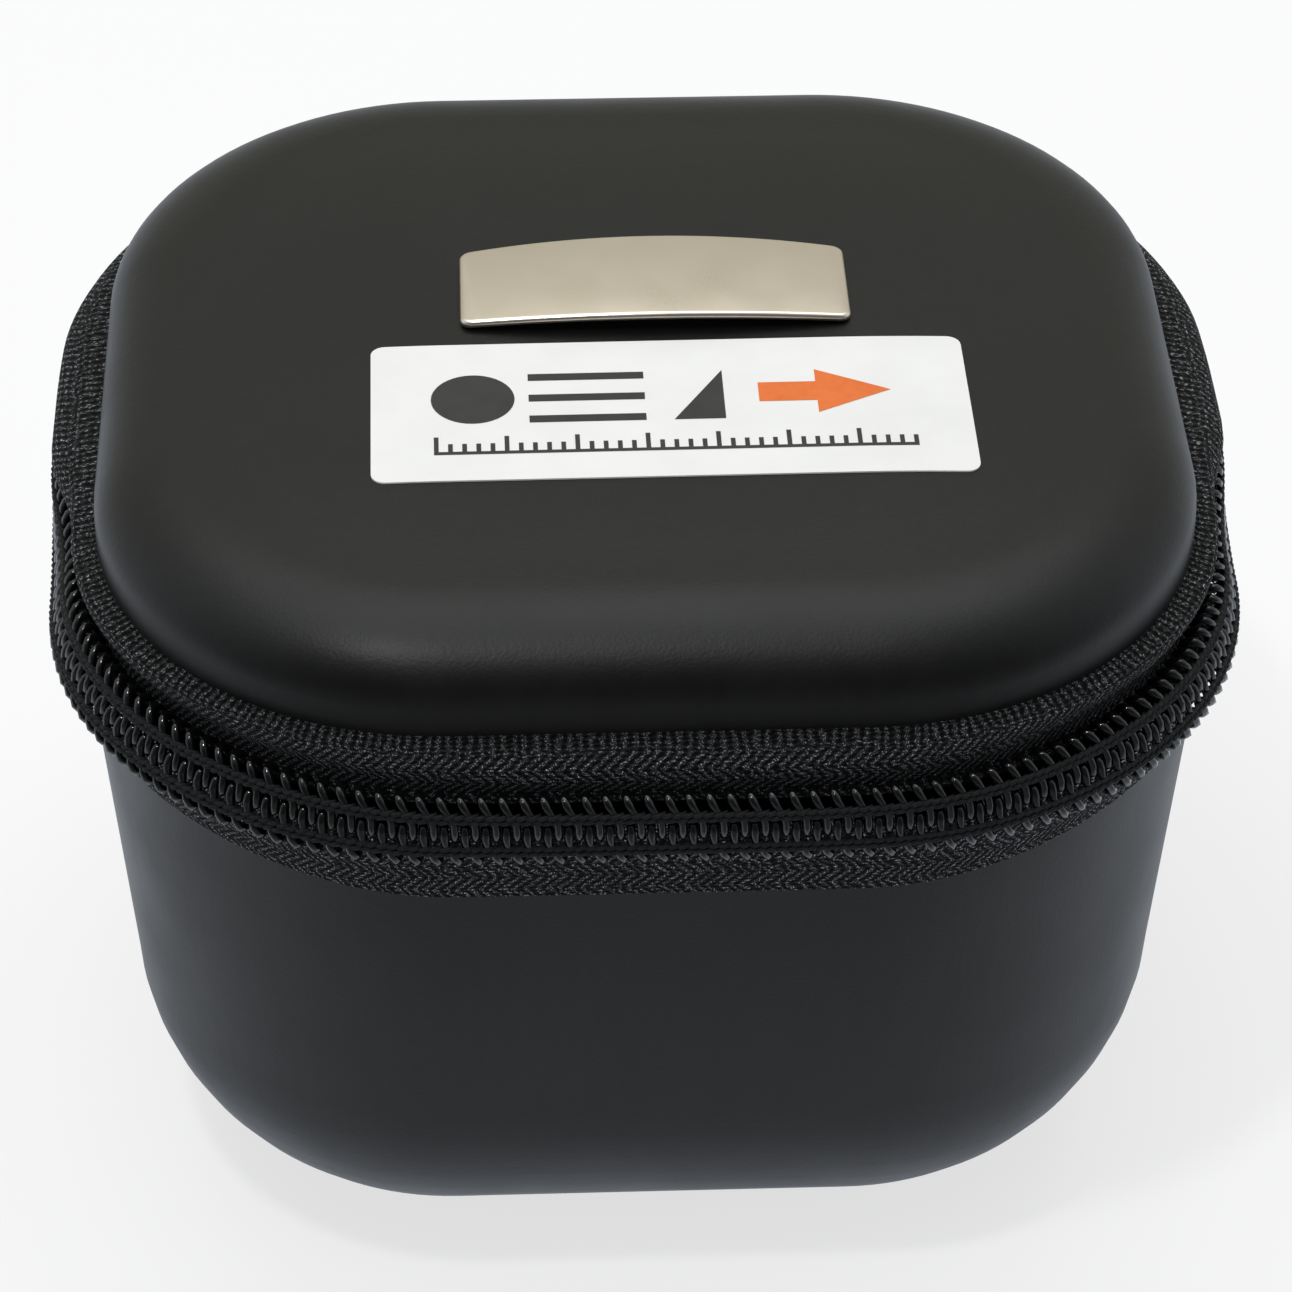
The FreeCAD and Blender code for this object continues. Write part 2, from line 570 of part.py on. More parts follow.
def cleaver_body():
    """The cast body with its carriage channel, clamp seats, bin recess and hinge ears."""
    body = rounded_block(BODY_LEFT, BODY_RIGHT, BODY_FRONT, BODY_BACK, BODY_BOTTOM, DECK, BODY_CORNER)
    rim = [e for e in body.Edges if e.BoundBox.ZMin > DECK - 0.01]
    body = body.makeFillet(BODY_EDGE, rim)
    half = CHANNEL_WIDTH / 2
    back_wall = BODY_BACK - CHANNEL_END_WALL
    body = body.cut(block(-half, half, BODY_FRONT + FRONT_SILL, back_wall, CHANNEL_BASE, DECK + 1))
    body = body.cut(block(-half, half, BODY_FRONT - 1, 0, SILL_TOP, DECK + 1))
    seat = CLAMP_GAP / 2 + CLAMP_LENGTH + SLACK
    near, far = FIBRE_Y - CLAMP_DEPTH / 2 - SLACK, FIBRE_Y + CLAMP_DEPTH / 2 + SLACK
    body = body.cut(block(-seat, seat, near, far, DECK - CLAMP_BLOCK, DECK + 1))
    body = body.cut(block(BODY_LEFT - 1, BIN_RIGHT + SLACK, BIN_FRONT - SLACK, BIN_BACK + SLACK,
                          DECK - BIN_HEIGHT, DECK + 1))
    inner = ARM_WIDTH / 2 + EAR_CLEARANCE
    for x0, x1 in ((inner, inner + EAR_WIDTH), (-inner - EAR_WIDTH, -inner)):
        lug = block(x0, x1, HINGE_Y - EAR_RADIUS, HINGE_Y + EAR_RADIUS, DECK - 2, HINGE_LEVEL)
        boss = rod(EAR_RADIUS, (x0, HINGE_Y, HINGE_LEVEL), (x1, HINGE_Y, HINGE_LEVEL))
        body = body.fuse([lug, boss])
    far_x = inner + EAR_WIDTH + 1
    body = body.cut(rod(HINGE_PIN + RUNNING_FIT / 2, (-far_x, HINGE_Y, HINGE_LEVEL),
                        (far_x, HINGE_Y, HINGE_LEVEL)))
    for x in (-RAIL_SPACING / 2, RAIL_SPACING / 2):
        body = body.cut(rod(RAIL_DIAMETER / 2, (x, BODY_FRONT + 0.5, RAIL_LEVEL),
                            (x, back_wall + 4, RAIL_LEVEL)))
    for x, y in screw_places():
        body = body.cut(rod(SCREW_SHANK + RUNNING_FIT, (x, y, BODY_BOTTOM - 1),
                            (x, y, BODY_BOTTOM - BOTTOM_PLATE + SCREW_LENGTH + 1)))
    return body.removeSplitter()


def cleaver_underside():
    """Bottom plate, its screws and the rubber foot that hides them."""
    plate_low = FOAM_FLOOR_TOP + FOOT_PAD
    plate = rounded_block(BODY_LEFT, BODY_RIGHT, BODY_FRONT, BODY_BACK, plate_low, BODY_BOTTOM, BODY_CORNER)
    inset = BODY_EDGE
    foot = rounded_block(BODY_LEFT + inset, BODY_RIGHT - inset, BODY_FRONT + inset, BODY_BACK - inset,
                         FOAM_FLOOR_TOP, plate_low, BODY_CORNER - inset)
    screws = []
    for x, y in screw_places():
        sink = rod(SCREW_HEAD + SLACK, (x, y, plate_low - 1), (x, y, plate_low + SCREW_HEAD_DEPTH))
        hole = rod(SCREW_SHANK + SLACK, (x, y, plate_low), (x, y, BODY_BOTTOM + 1))
        plate = plate.cut(sink).cut(hole)
        head = rod(SCREW_HEAD, (x, y, plate_low), (x, y, plate_low + SCREW_HEAD_DEPTH))
        shank = rod(SCREW_SHANK, (x, y, plate_low), (x, y, plate_low + SCREW_LENGTH))
        screws.append(head.fuse(shank))
    return {"bottom_plate": plate, "foot_pad": foot, "bottom_screws": Part.makeCompound(screws)}


def blade_carriage():
    """The slide that carries the blade wheel under the fibre, on its two rails, with its thumb knob."""
    side = CARRIAGE_SIDE
    back = CARRIAGE_FRONT + CARRIAGE_LENGTH
    carriage = block(-side, side, CARRIAGE_FRONT, back, CHANNEL_BASE + CARRIAGE_CLEARANCE, CARRIAGE_ROOF)
    well = BLADE_DIAMETER / 2 + CARRIAGE_CLEARANCE
    carriage = carriage.cut(block(-BLADE_SLOT / 2, BLADE_SLOT / 2, BLADE_Y - well, BLADE_Y + well,
                                  BLADE_LEVEL - well, DECK))
    axle = BLADE_BORE / 2
    carriage = carriage.cut(rod(axle, (-side + 1.5, BLADE_Y, BLADE_LEVEL), (side + 1, BLADE_Y, BLADE_LEVEL)))
    head = rod(axle + BLADE_SCREW_RIM, (side - 1.4, BLADE_Y, BLADE_LEVEL), (side + 1, BLADE_Y, BLADE_LEVEL))
    carriage = carriage.cut(head)
    rails = []
    for x in (-RAIL_SPACING / 2, RAIL_SPACING / 2):
        start = (x, BODY_FRONT + 0.5, RAIL_LEVEL)
        end = (x, BODY_BACK - CHANNEL_END_WALL + 4, RAIL_LEVEL)
        rails.append(rod(RAIL_DIAMETER / 2, start, end))
        carriage = carriage.cut(rod(RAIL_DIAMETER / 2 + RUNNING_FIT, start, end))
    half = KNOB_WIDTH / 2
    low = SILL_TOP + CARRIAGE_CLEARANCE
    knob = rounded_block(-half, half, CARRIAGE_FRONT - KNOB_REACH, CARRIAGE_FRONT, low,
                         low + KNOB_HEIGHT, 1.5)
    front = CARRIAGE_FRONT - 0.1
    rim = [e for e in knob.Edges if e.BoundBox.ZMin > low + KNOB_HEIGHT - 0.01 and e.BoundBox.YMax < front]
    knob = knob.makeFillet(0.8, rim)
    pitch = KNOB_WIDTH / (KNOB_RIBS + 1)
    for i in range(KNOB_RIBS):
        x = -half + pitch * (i + 1)
        knob = knob.cut(block(x - 0.4, x + 0.4, CARRIAGE_FRONT - KNOB_REACH - 1,
                              CARRIAGE_FRONT - KNOB_REACH + 0.6, low - 1, low + KNOB_HEIGHT + 1))
    blade = rod(BLADE_DIAMETER / 2, (-BLADE_THICKNESS / 2, BLADE_Y, BLADE_LEVEL),
                (BLADE_THICKNESS / 2, BLADE_Y, BLADE_LEVEL))
    blade = blade.makeChamfer(BLADE_THICKNESS * 0.4, blade.Edges[0:1] + blade.Edges[2:3])
    blade = blade.cut(rod(axle, (-1, BLADE_Y, BLADE_LEVEL), (1, BLADE_Y, BLADE_LEVEL)))
    shaft = axle - RUNNING_FIT
    screw = rod(shaft, (-side + 1.5, BLADE_Y, BLADE_LEVEL), (side - 0.2, BLADE_Y, BLADE_LEVEL))
    screw = screw.fuse(rod(shaft + BLADE_SCREW_RIM, (side - 1.4, BLADE_Y, BLADE_LEVEL),
                           (side - 0.2, BLADE_Y, BLADE_LEVEL)))
    screw = screw.cut(block(side - 0.8, side, BLADE_Y - 4, BLADE_Y + 4, BLADE_LEVEL - 0.3,
                            BLADE_LEVEL + 0.3))
    return {"blade_carriage": carriage, "carriage_knob": knob, "blade_wheel": blade,
            "blade_screw": screw, "carriage_rails": Part.makeCompound(rails)}


def fibre_clamps():
    """Steel blocks with rubber pads, two on the deck and two under the cover arm, and the anvil."""
    x0, x1 = CLAMP_GAP / 2, CLAMP_GAP / 2 + CLAMP_LENGTH
    y0, y1 = FIBRE_Y - CLAMP_DEPTH / 2, FIBRE_Y + CLAMP_DEPTH / 2
    pad_low = FIBRE_LEVEL + FIBRE_DIAMETER / 2
    tip = pad_low + FIBRE_DIAMETER
    anvil = block(-ANVIL_WIDTH / 2, ANVIL_WIDTH / 2, FIBRE_Y - ANVIL_DEPTH / 2, FIBRE_Y + ANVIL_DEPTH / 2,
                  tip, ARM_UNDER)
    nose = [e for e in anvil.Edges if e.BoundBox.ZMax < tip + 0.01 and e.BoundBox.YLength > 1]
    return {
        "lower_clamps": mirrored(block(x0, x1, y0, y1, DECK - CLAMP_BLOCK, DECK)),
        "lower_pads": mirrored(block(x0, x1, y0, y1, DECK, DECK + CLAMP_PAD)),
        "upper_pads": mirrored(block(x0, x1, y0, y1, pad_low, pad_low + CLAMP_PAD)),
        "upper_clamps": mirrored(block(x0, x1, y0, y1, pad_low + CLAMP_PAD, ARM_UNDER)),
        "anvil": anvil.makeFillet(ANVIL_WIDTH * 0.35, nose),
    }


def cover_arm():
    """The lever that brings the upper clamps down, with its barrel, thumb lip and hinge pin."""
    barrel_top = HINGE_LEVEL + HINGE_BARREL
    front = -ARM_REACH
    outline = [(HINGE_Y, barrel_top), (HINGE_Y - 9, ARM_TOP), (front + ARM_SLOPE, ARM_TOP),
               (front, ARM_TOP - ARM_NOSE), (front, ARM_TOP - ARM_LIP - 1), (front + 4, ARM_UNDER + 1),
               (front + 6, ARM_UNDER), (HINGE_Y - 6, ARM_UNDER), (HINGE_Y, HINGE_LEVEL - HINGE_BARREL + 1)]
    half = ARM_WIDTH / 2
    loop = [V(-half, y, z) for y, z in outline]
    arm = Part.Face(Part.makePolygon(loop + loop[:1])).extrude(V(ARM_WIDTH, 0, 0))
    limit = front + ARM_SLOPE + 0.1
    nose = [e for e in arm.Edges if e.BoundBox.YMax < limit and e.BoundBox.XLength > 1
            and e.BoundBox.ZMin > ARM_UNDER + 1.5]
    arm = arm.makeFillet(0.9, nose)
    arm = arm.common(rounded_block(-half, half, front, HINGE_Y + HINGE_BARREL, DECK, 2 * barrel_top,
                                   ARM_CORNER))
    arm = arm.fuse(rod(HINGE_BARREL, (-half, HINGE_Y, HINGE_LEVEL), (half, HINGE_Y, HINGE_LEVEL)))
    arm = arm.cut(rod(HINGE_PIN + RUNNING_FIT, (-half - 1, HINGE_Y, HINGE_LEVEL),
                      (half + 1, HINGE_Y, HINGE_LEVEL)))
    side = half - ARM_WINDOW_SIDE
    window = rounded_block(-side, side, ARM_WINDOW_FRONT, ARM_WINDOW_BACK, ARM_UNDER - 1, ARM_TOP + 1,
                           ARM_WINDOW_CORNER)
    arm = arm.cut(window)
    side = half - GRIP_SIDE
    y0, y1 = front + GRIP_FRONT, front + GRIP_FRONT + GRIP_LENGTH
    sink = ARM_TOP - GRIP_SINK
    grip = rounded_block(-side, side, y0, y1, sink, ARM_TOP + GRIP_RISE, GRIP_CORNER)
    arm = arm.cut(rounded_block(-side - SLACK, side + SLACK, y0 - SLACK, y1 + SLACK, sink, ARM_TOP + 1,
                                GRIP_CORNER + SLACK))
    reach = half + EAR_CLEARANCE + EAR_WIDTH
    pin = rod(HINGE_PIN, (-reach, HINGE_Y, HINGE_LEVEL), (reach, HINGE_Y, HINGE_LEVEL))
    return {"cover_arm": arm.removeSplitter(), "thumb_grip": grip, "arm_pin": pin}


def fibre_guide():
    """The plate whose groove lays the fibre, with its small flap, on the right of the deck."""
    left, right = GUIDE_LEFT, BODY_RIGHT - BODY_EDGE
    plate = block(left, right, GUIDE_FRONT, GUIDE_BACK, DECK, GUIDE_TOP)
    depth = GUIDE_TOP - (FIBRE_LEVEL - FIBRE_DIAMETER)
    groove = [V(left - 1, FIBRE_Y - depth, GUIDE_TOP), V(left - 1, FIBRE_Y + depth, GUIDE_TOP),
              V(left - 1, FIBRE_Y, GUIDE_TOP - depth)]
    run = V(GUIDE_WIDTH * 2, 0, 0)
    plate = plate.cut(Part.Face(Part.makePolygon(groove + groove[:1])).extrude(run))
    knuckle = GUIDE_LID / 2
    lugs = []
    for x in (left, right - GUIDE_LUG):
        foot = block(x, x + GUIDE_LUG, GUIDE_PIN_Y - knuckle, GUIDE_PIN_Y + knuckle, DECK, GUIDE_PIN_LEVEL)
        head = rod(knuckle, (x, GUIDE_PIN_Y, GUIDE_PIN_LEVEL), (x + GUIDE_LUG, GUIDE_PIN_Y, GUIDE_PIN_LEVEL))
        lugs += [foot, head]
    plate = plate.fuse(lugs)
    plate = plate.cut(rod(GUIDE_PIN, (left - 1, GUIDE_PIN_Y, GUIDE_PIN_LEVEL),
                          (right + 1, GUIDE_PIN_Y, GUIDE_PIN_LEVEL)))
    inner0, inner1 = left + GUIDE_LUG + SLACK * 2, right - GUIDE_LUG - SLACK * 2
    low = GUIDE_TOP + ZIP_CLEARANCE
    flap = block(inner0, inner1, GUIDE_FRONT + 0.5, GUIDE_PIN_Y, low, low + GUIDE_LID)
    flap = flap.fuse(rod(knuckle, (inner0, GUIDE_PIN_Y, GUIDE_PIN_LEVEL),
                         (inner1, GUIDE_PIN_Y, GUIDE_PIN_LEVEL)))
    flap = flap.cut(rod(GUIDE_PIN + RUNNING_FIT, (left, GUIDE_PIN_Y, GUIDE_PIN_LEVEL),
                        (right, GUIDE_PIN_Y, GUIDE_PIN_LEVEL)))
    pin = rod(GUIDE_PIN, (left, GUIDE_PIN_Y, GUIDE_PIN_LEVEL), (right, GUIDE_PIN_Y, GUIDE_PIN_LEVEL))
    return {"guide_plate": plate.removeSplitter(), "guide_flap": flap.removeSplitter(), "guide_pin": pin}


def scrap_bin():
    """The bin that catches snapped ends, with its feed roller and hinged lid, in the body's left side."""
    left, right = BODY_LEFT, BIN_RIGHT
    low = DECK - BIN_HEIGHT
    box = block(left, right, BIN_FRONT, BIN_BACK, low, DECK)
    box = box.cut(block(left + BIN_WALL, right - BIN_WALL, BIN_FRONT + BIN_WALL, BIN_BACK - BIN_WALL,
                        low + BIN_WALL, DECK + 1))
    roller_x = right - BIN_WALL - ROLLER - ZIP_CLEARANCE
    roller_z = DECK - ROLLER - ZIP_CLEARANCE
    axle = ROLLER / 2
    ends = ((roller_x, BIN_FRONT, roller_z), (roller_x, BIN_BACK, roller_z))
    box = box.cut(rod(axle + RUNNING_FIT, *ends))
    roller = rod(ROLLER, (roller_x, BIN_FRONT + BIN_WALL + SLACK, roller_z),
                 (roller_x, BIN_BACK - BIN_WALL - SLACK, roller_z)).fuse(rod(axle, *ends))
    knuckle = BIN_LID / 2
    lug = 2.0
    pin_ends = ((BIN_PIN_X, BIN_FRONT, BIN_PIN_LEVEL), (BIN_PIN_X, BIN_BACK, BIN_PIN_LEVEL))
    for y in (BIN_FRONT, BIN_BACK - lug):
        foot = block(BIN_PIN_X - knuckle, BIN_PIN_X + knuckle, y, y + lug, DECK - BIN_WALL, BIN_PIN_LEVEL)
        head = rod(knuckle, (BIN_PIN_X, y, BIN_PIN_LEVEL), (BIN_PIN_X, y + lug, BIN_PIN_LEVEL))
        box = box.fuse([foot, head])
    box = box.cut(rod(BIN_PIN, *pin_ends))
    y0, y1 = BIN_FRONT + lug + 2 * SLACK, BIN_BACK - lug - 2 * SLACK
    lid = block(BIN_PIN_X, right, y0, y1, BIN_PIN_LEVEL - knuckle + SLACK, BIN_PIN_LEVEL + knuckle)
    lid = lid.fuse(rod(knuckle, (BIN_PIN_X, y0, BIN_PIN_LEVEL), (BIN_PIN_X, y1, BIN_PIN_LEVEL)))
    lid = lid.cut(rod(BIN_PIN + RUNNING_FIT, *pin_ends))
    return {"scrap_bin": box.removeSplitter(), "bin_lid": lid.removeSplitter(), "feed_roller": roller,
            "bin_pin": rod(BIN_PIN, *pin_ends)}


def main():
    os.makedirs("parts", exist_ok=True)
    nodes = {"cleaver_body": cleaver_body()}
    for group in (case_shells, tapes, coils, slider, lid_trim, foam, cleaver_underside, blade_carriage,
                  fibre_clamps, cover_arm, fibre_guide, scrap_bin):
        nodes.update(group())
    for name, shape in nodes.items():
        if not shape.isValid():
            print("not valid:", name)
        shape.exportStep(f"parts/{name}.step")


main()
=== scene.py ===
"""The fibre cleaver's case as it looks: skins, zip tapes, coil, badge and label, with the tool inside."""
import bpy
import json
import math
from mathutils import Matrix, Vector


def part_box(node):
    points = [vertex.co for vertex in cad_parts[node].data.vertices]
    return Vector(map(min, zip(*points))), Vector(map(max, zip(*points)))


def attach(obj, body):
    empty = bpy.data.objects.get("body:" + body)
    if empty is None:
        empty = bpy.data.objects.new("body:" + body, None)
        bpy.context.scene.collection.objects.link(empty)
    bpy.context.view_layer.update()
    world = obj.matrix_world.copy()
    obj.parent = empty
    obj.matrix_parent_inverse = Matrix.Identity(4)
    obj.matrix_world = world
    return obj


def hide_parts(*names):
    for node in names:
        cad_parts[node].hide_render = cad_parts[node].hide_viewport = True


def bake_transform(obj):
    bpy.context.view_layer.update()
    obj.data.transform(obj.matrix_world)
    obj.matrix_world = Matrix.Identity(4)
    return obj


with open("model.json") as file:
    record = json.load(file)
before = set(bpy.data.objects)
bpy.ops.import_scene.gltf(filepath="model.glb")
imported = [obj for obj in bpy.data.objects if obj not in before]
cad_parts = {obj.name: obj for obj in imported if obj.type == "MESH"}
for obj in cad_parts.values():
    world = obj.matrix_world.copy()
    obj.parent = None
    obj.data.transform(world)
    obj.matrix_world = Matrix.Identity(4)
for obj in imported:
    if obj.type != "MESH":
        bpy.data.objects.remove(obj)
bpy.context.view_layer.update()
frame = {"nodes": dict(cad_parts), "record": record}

MM = 0.001

# Case outline over the zip, and the sections of its two mouldings
CASE_WIDTH = 105.3 * MM
CASE_DEPTH = 99.0 * MM
CORNER = 35.0 * MM
STRAIGHT_X = CASE_WIDTH / 2 - CORNER
STRAIGHT_Y = CASE_DEPTH / 2 - CORNER
HALF_WAY = 2 * STRAIGHT_X + 2 * STRAIGHT_Y + CORNER * math.pi
CORNER_STEPS = 28
SHELL_WALL = 3.4 * MM
LINING = 0.6 * MM
BASE_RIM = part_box("base_shell")[1].z
BASE_INSET = 3.85 * MM
BASE_DRAFT = 0.08
BASE_FILLET = (23.4 * MM, 23.0 * MM)
LID_INSET = 4.3 * MM
LID_NARROWER = 0.9 * MM
LID_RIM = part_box("lid_shell")[0].z
LID_SIDE = 2.5 * MM
LID_FILLET = (10.1 * MM, 6.2 * MM)
LID_CROWN = 0.9 * MM
LID_TOP = LID_RIM + LID_SIDE + LID_FILLET[1]
CROWN_REACH = CORNER - LID_INSET - LID_FILLET[0]
CROWN_RADIUS = (CROWN_REACH ** 2 + LID_CROWN ** 2) / (2 * LID_CROWN)
CROWN_RINGS = 6
LAST_FLAT = 0.2 * MM

# Zip: the coil, its lean and sag, and the stitching over it. Pairs of bare numbers say where along the
# zip something starts and is full, in millimetres from the front's middle
ZIP_HEIGHT = 60.5 * MM
CHAIN_THICKNESS = 2.4 * MM
ZIP_FACE = 0.15 * MM
ZIP_FOOT = 3.2 * MM
ZIP_LEAN = (2.0, 20.0)
ZIP_SAG = 0.7 * MM
ZIP_ROUNDS = (8, 44)
ZIP_UPRIGHT = (70, 86)
TOOTH_PITCH = 1.70 * MM
FILAMENT = 0.80 * MM
THREAD = 0.46 * MM
STITCH_LEVELS = (1.35 * MM, 1.82 * MM)

# Tapes: the lower one's edge rises to the corners, the upper one bulges over the coil at the sides
TAPE = 0.6 * MM
TAPE_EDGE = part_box("base_tape")[0].z
TAPE_RISE = 2.0 * MM
RISE_GROWS = (15, 48)
TAPE_BULGE = 1.6 * MM
BULGE_GROWS = (72, 88)
BULGE_SHRINKS = (94, 116)
BULGE_LOSS = 0.45
BULGE_FROM_HEAD = (-1.2 * MM, 0.8 * MM)
BULGE_TO_LID = 1.9 * MM
LID_JOIN = 0.4 * MM
CLOTH_STEP = 2.2 * MM

# Where the cloth hinge, the tapes and the coil end, as headings in degrees
HINGE_HALF = 29.0 * MM
HINGE_EDGE = math.degrees(math.acos((HINGE_HALF - STRAIGHT_X) / CORNER))
TAPE_END = HINGE_EDGE - 0.4
ROUND_FRONT = (180 - TAPE_END, 360 + TAPE_END)
ZIP_END = 61.0

# Badge and label on the lid. The badge is deeper in its middle, by shares of its depth
BADGE_CENTRE = (1.4 * MM, 5.0 * MM)
BADGE_SIZE = (34.4 * MM, 12.0 * MM, 0.8 * MM)
BADGE_ARCH = 1.1 * MM
BADGE_WAIST = (0.94, 0.12)
BADGE_CORNER = 1.0 * MM
BADGE_EDGE = 0.62 * MM
BADGE_SLICES = 24
LABEL_CENTRE = (2.2 * MM, -12.9 * MM)
LABEL_SIZE = (51.5 * MM, 19.9 * MM)
LABEL_CORNER = 1.2 * MM
LABEL_TURN = math.radians(0.35)
FILM_THICKNESS = 0.15 * MM
INK_THICKNESS = 0.015 * MM
INK_GAP = 0.02 * MM
TICKS = 35
TICK_PITCH = 1.2

# Viewpoint of the photograph, from a fit of the case's outlines
FRAME_SIDE = 1292
FOCAL_PIXELS = 4782.0
SENSOR = 36.0
CAMERA_DISTANCE = 442.3 * MM
CAMERA_ELEVATION = math.radians(37.95)
CAMERA_YAW = math.radians(-2.48)
CAMERA_ROLL = math.radians(0.35)
CAMERA_TARGET = Vector((0.71 * MM, 0.0, 41.03 * MM))

# Stage: the floor's width in metres and how far it glows of itself, and the room's strength as a light
FLOOR_SIDE = 6.0
FLOOR_GLOW = 0.7
ROOM_LIGHT = 0.45


# Materials

def colour(code):
    """Linear RGBA of an sRGB hex colour."""
    channels = [int(code[i:i + 2], 16) / 255 for i in (0, 2, 4)]
    linear = [c / 12.92 if c <= 0.04045 else ((c + 0.055) / 1.055) ** 2.4 for c in channels]
    return (*linear, 1.0)


def add(tree, kind, inputs=(), **settings):
    """Adds a node with its settings, fills or links its live inputs, and returns its first live output.

    Inputs are given in the node's own order or by name, and a text among them is a hex colour."""
    made = tree.nodes.new("ShaderNode" + kind)
    for name, value in settings.items():
        setattr(made, name, value)
    live = [socket for socket in made.inputs if socket.enabled]
    order = {socket.name: i for i, socket in enumerate(live)}
    for key, value in inputs.items() if isinstance(inputs, dict) else enumerate(inputs):
        socket = live[order.get(key, key)]
        if isinstance(value, bpy.types.NodeSocket):
            tree.links.new(value, socket)
        else:
            socket.default_value = colour(value) if isinstance(value, str) else value
    return next(socket for socket in made.outputs if socket.enabled)


def surface(name, base, roughness, metallic=0.0, **sockets):
    """A new material with its constants on the shader's own sockets; returns material, tree and shader."""
    made = bpy.data.materials.new(name)
    made.use_nodes = True
    tree = made.node_tree
    shader = tree.nodes["Principled BSDF"]
    shader.inputs["Base Color"].default_value = colour(base)
    shader.inputs["Roughness"].default_value = roughness
    shader.inputs["Metallic"].default_value = metallic
    for socket, value in sockets.items():
        shader.inputs[socket.replace("_", " ")].default_value = value
    return made, tree, shader


def patterned(tree, shader, depth=0.0, **sockets):
    """Links a material's patterns to its shader; a height goes in as Normal, with its depth in metres."""
    for name, value in sockets.items():
        if name == "Normal":
            value = add(tree, "Bump", {"Height": value, "Distance": depth})
        tree.links.new(value, shader.inputs[name.replace("_", " ")])


def plain_finish(name, base, shade, roughness, metallic=0.0, grain=0.3, depth=0.01, tone=1.5, **sockets):
    """A moulded or machined finish: mottled tone and gloss, and fine grain; sizes in millimetres."""
    made, tree, shader = surface(name, base, roughness, metallic, **sockets)
    where = add(tree, "TexCoord").node.outputs["Object"]
    cloud = add(tree, "TexNoise", [where, 1 / (tone * MM), 3.0, 0.55])
    mottle = add(tree, "MapRange", [cloud, 0.3, 0.7, 0.0, 1.0])
    patterned(tree, shader, depth * MM,
              Base_Color=add(tree, "Mix", [mottle, base, shade], data_type="RGBA"),
              Roughness=add(tree, "MapRange", [cloud, 0.3, 0.7, roughness * 0.85, roughness * 1.15]),
              Normal=add(tree, "TexNoise", [where, 1 / (grain * MM), 3.0, 0.55]))
    return made


def moulded_skin():
    """Polyurethane skin on pressed foam: black and satin, with a fine grain and faint draw lines."""
    made, tree, shader = surface("pressed polyurethane skin", "0e0e0d", 0.43, Specular_IOR_Level=0.26)
    where = add(tree, "TexCoord").node.outputs["Object"]
    drawn = add(tree, "Mapping", {"Vector": where, "Scale": (1.0, 1.0, 0.12)})
    lines = add(tree, "TexNoise", [drawn, 1 / (1.1 * MM), 2.0, 0.55])
    # The real pores are about 0.1 mm; they are drawn three times as wide, to show at all
    pores = add(tree, "TexNoise", [where, 1 / (0.3 * MM), 2.0, 0.55])
    cloud = add(tree, "TexNoise", [where, 1 / (14.0 * MM), 3.0, 0.55])
    streaks = add(tree, "MapRange", [lines, 0.35, 0.65, 0.0, 0.4])
    patches = add(tree, "MapRange", [cloud, 0.35, 0.65, 0.0, 0.6])
    tone = add(tree, "Math", [streaks, patches], operation="ADD")
    patterned(tree, shader, 0.018 * MM,
              Base_Color=add(tree, "Mix", [tone, "0b0b0b", "121211"], data_type="RGBA"),
              Roughness=add(tree, "MapRange", [cloud, 0.35, 0.65, 0.4, 0.46]),
              Normal=add(tree, "Math", [lines, 0.6, pores], operation="MULTIPLY_ADD"))
    return made


def woven_tape():
    """Filament polyester tape: zigzag ribs over knit columns, dull black with glints off the yarns and
    painted shade in its grooves.

    The cloth's own map is in millimetres: along the zip, and across the tape from its lower edge."""
    made, tree, shader = surface("woven polyester tape", "0c0d0d", 0.7, Specular_IOR_Level=0.12)
    wrap = add(tree, "UVMap", uv_map="wrap")
    sway = add(tree, "TexNoise", [wrap, 1 / 1.3, 2.0, 0.55])
    swayed = add(tree, "VectorMath", [wrap, sway], operation="ADD")
    split = add(tree, "SeparateXYZ", [swayed]).node.outputs
    along, across = split["X"], split["Y"]
    zigzag = add(tree, "Math", [across, 1.5], operation="PINGPONG")
    slanted = add(tree, "Math", [along, zigzag], operation="ADD")
    # The real ribs are about 0.6 mm and the glints 0.1 mm; both are drawn half as wide again, to show
    ribs, columns, weft = [
        add(tree, "Math", [add(tree, "Math", [way, 2 * math.pi / width], operation="MULTIPLY")],
            operation="SINE")
        for way, width in ((slanted, 0.95), (along, 0.9), (across, 0.45))]
    near_edge = add(tree, "MapRange", [across, 5.6, 6.8, 0.0, 1.0])
    pattern = add(tree, "Mix", [near_edge, ribs, columns], data_type="FLOAT")
    crossed = add(tree, "Math", [weft, 0.3], operation="MULTIPLY")
    cells = add(tree, "Math", [pattern, 0.5, crossed], operation="MULTIPLY_ADD")
    yarn = add(tree, "TexNoise", [wrap, 1 / 0.16, 3.0, 0.7])
    height = add(tree, "Math", [yarn, 1.8, cells], operation="MULTIPLY_ADD")
    speck = add(tree, "TexNoise", [wrap, 1 / 0.15, 1.0, 0.55])
    glint = add(tree, "MapRange", [speck, 0.57, 0.64, 0.0, 1.0])
    raised = add(tree, "MapRange", [cells, -0.1, 0.5, 0.0, 1.0])
    bright = add(tree, "Math", [glint, raised], operation="MULTIPLY")
    # Painted shade: the base colour darkens down in the grooves between ribs, knit columns and weft yarns
    # and pales on their tops; the yarn noise in it is random tone
    tone = add(tree, "MapRange", [height, 0.35, 1.6, 0.0, 1.0])
    dull = add(tree, "Mix", [tone, "030303", "333435"], data_type="RGBA")
    patterned(tree, shader, 0.24 * MM,
              Base_Color=add(tree, "Mix", [bright, dull, "d2d5d9"], data_type="RGBA"),
              Metallic=bright,
              Roughness=add(tree, "MapRange", [bright, 0.0, 1.0, 0.75, 0.24]),
              Normal=height)
    return made


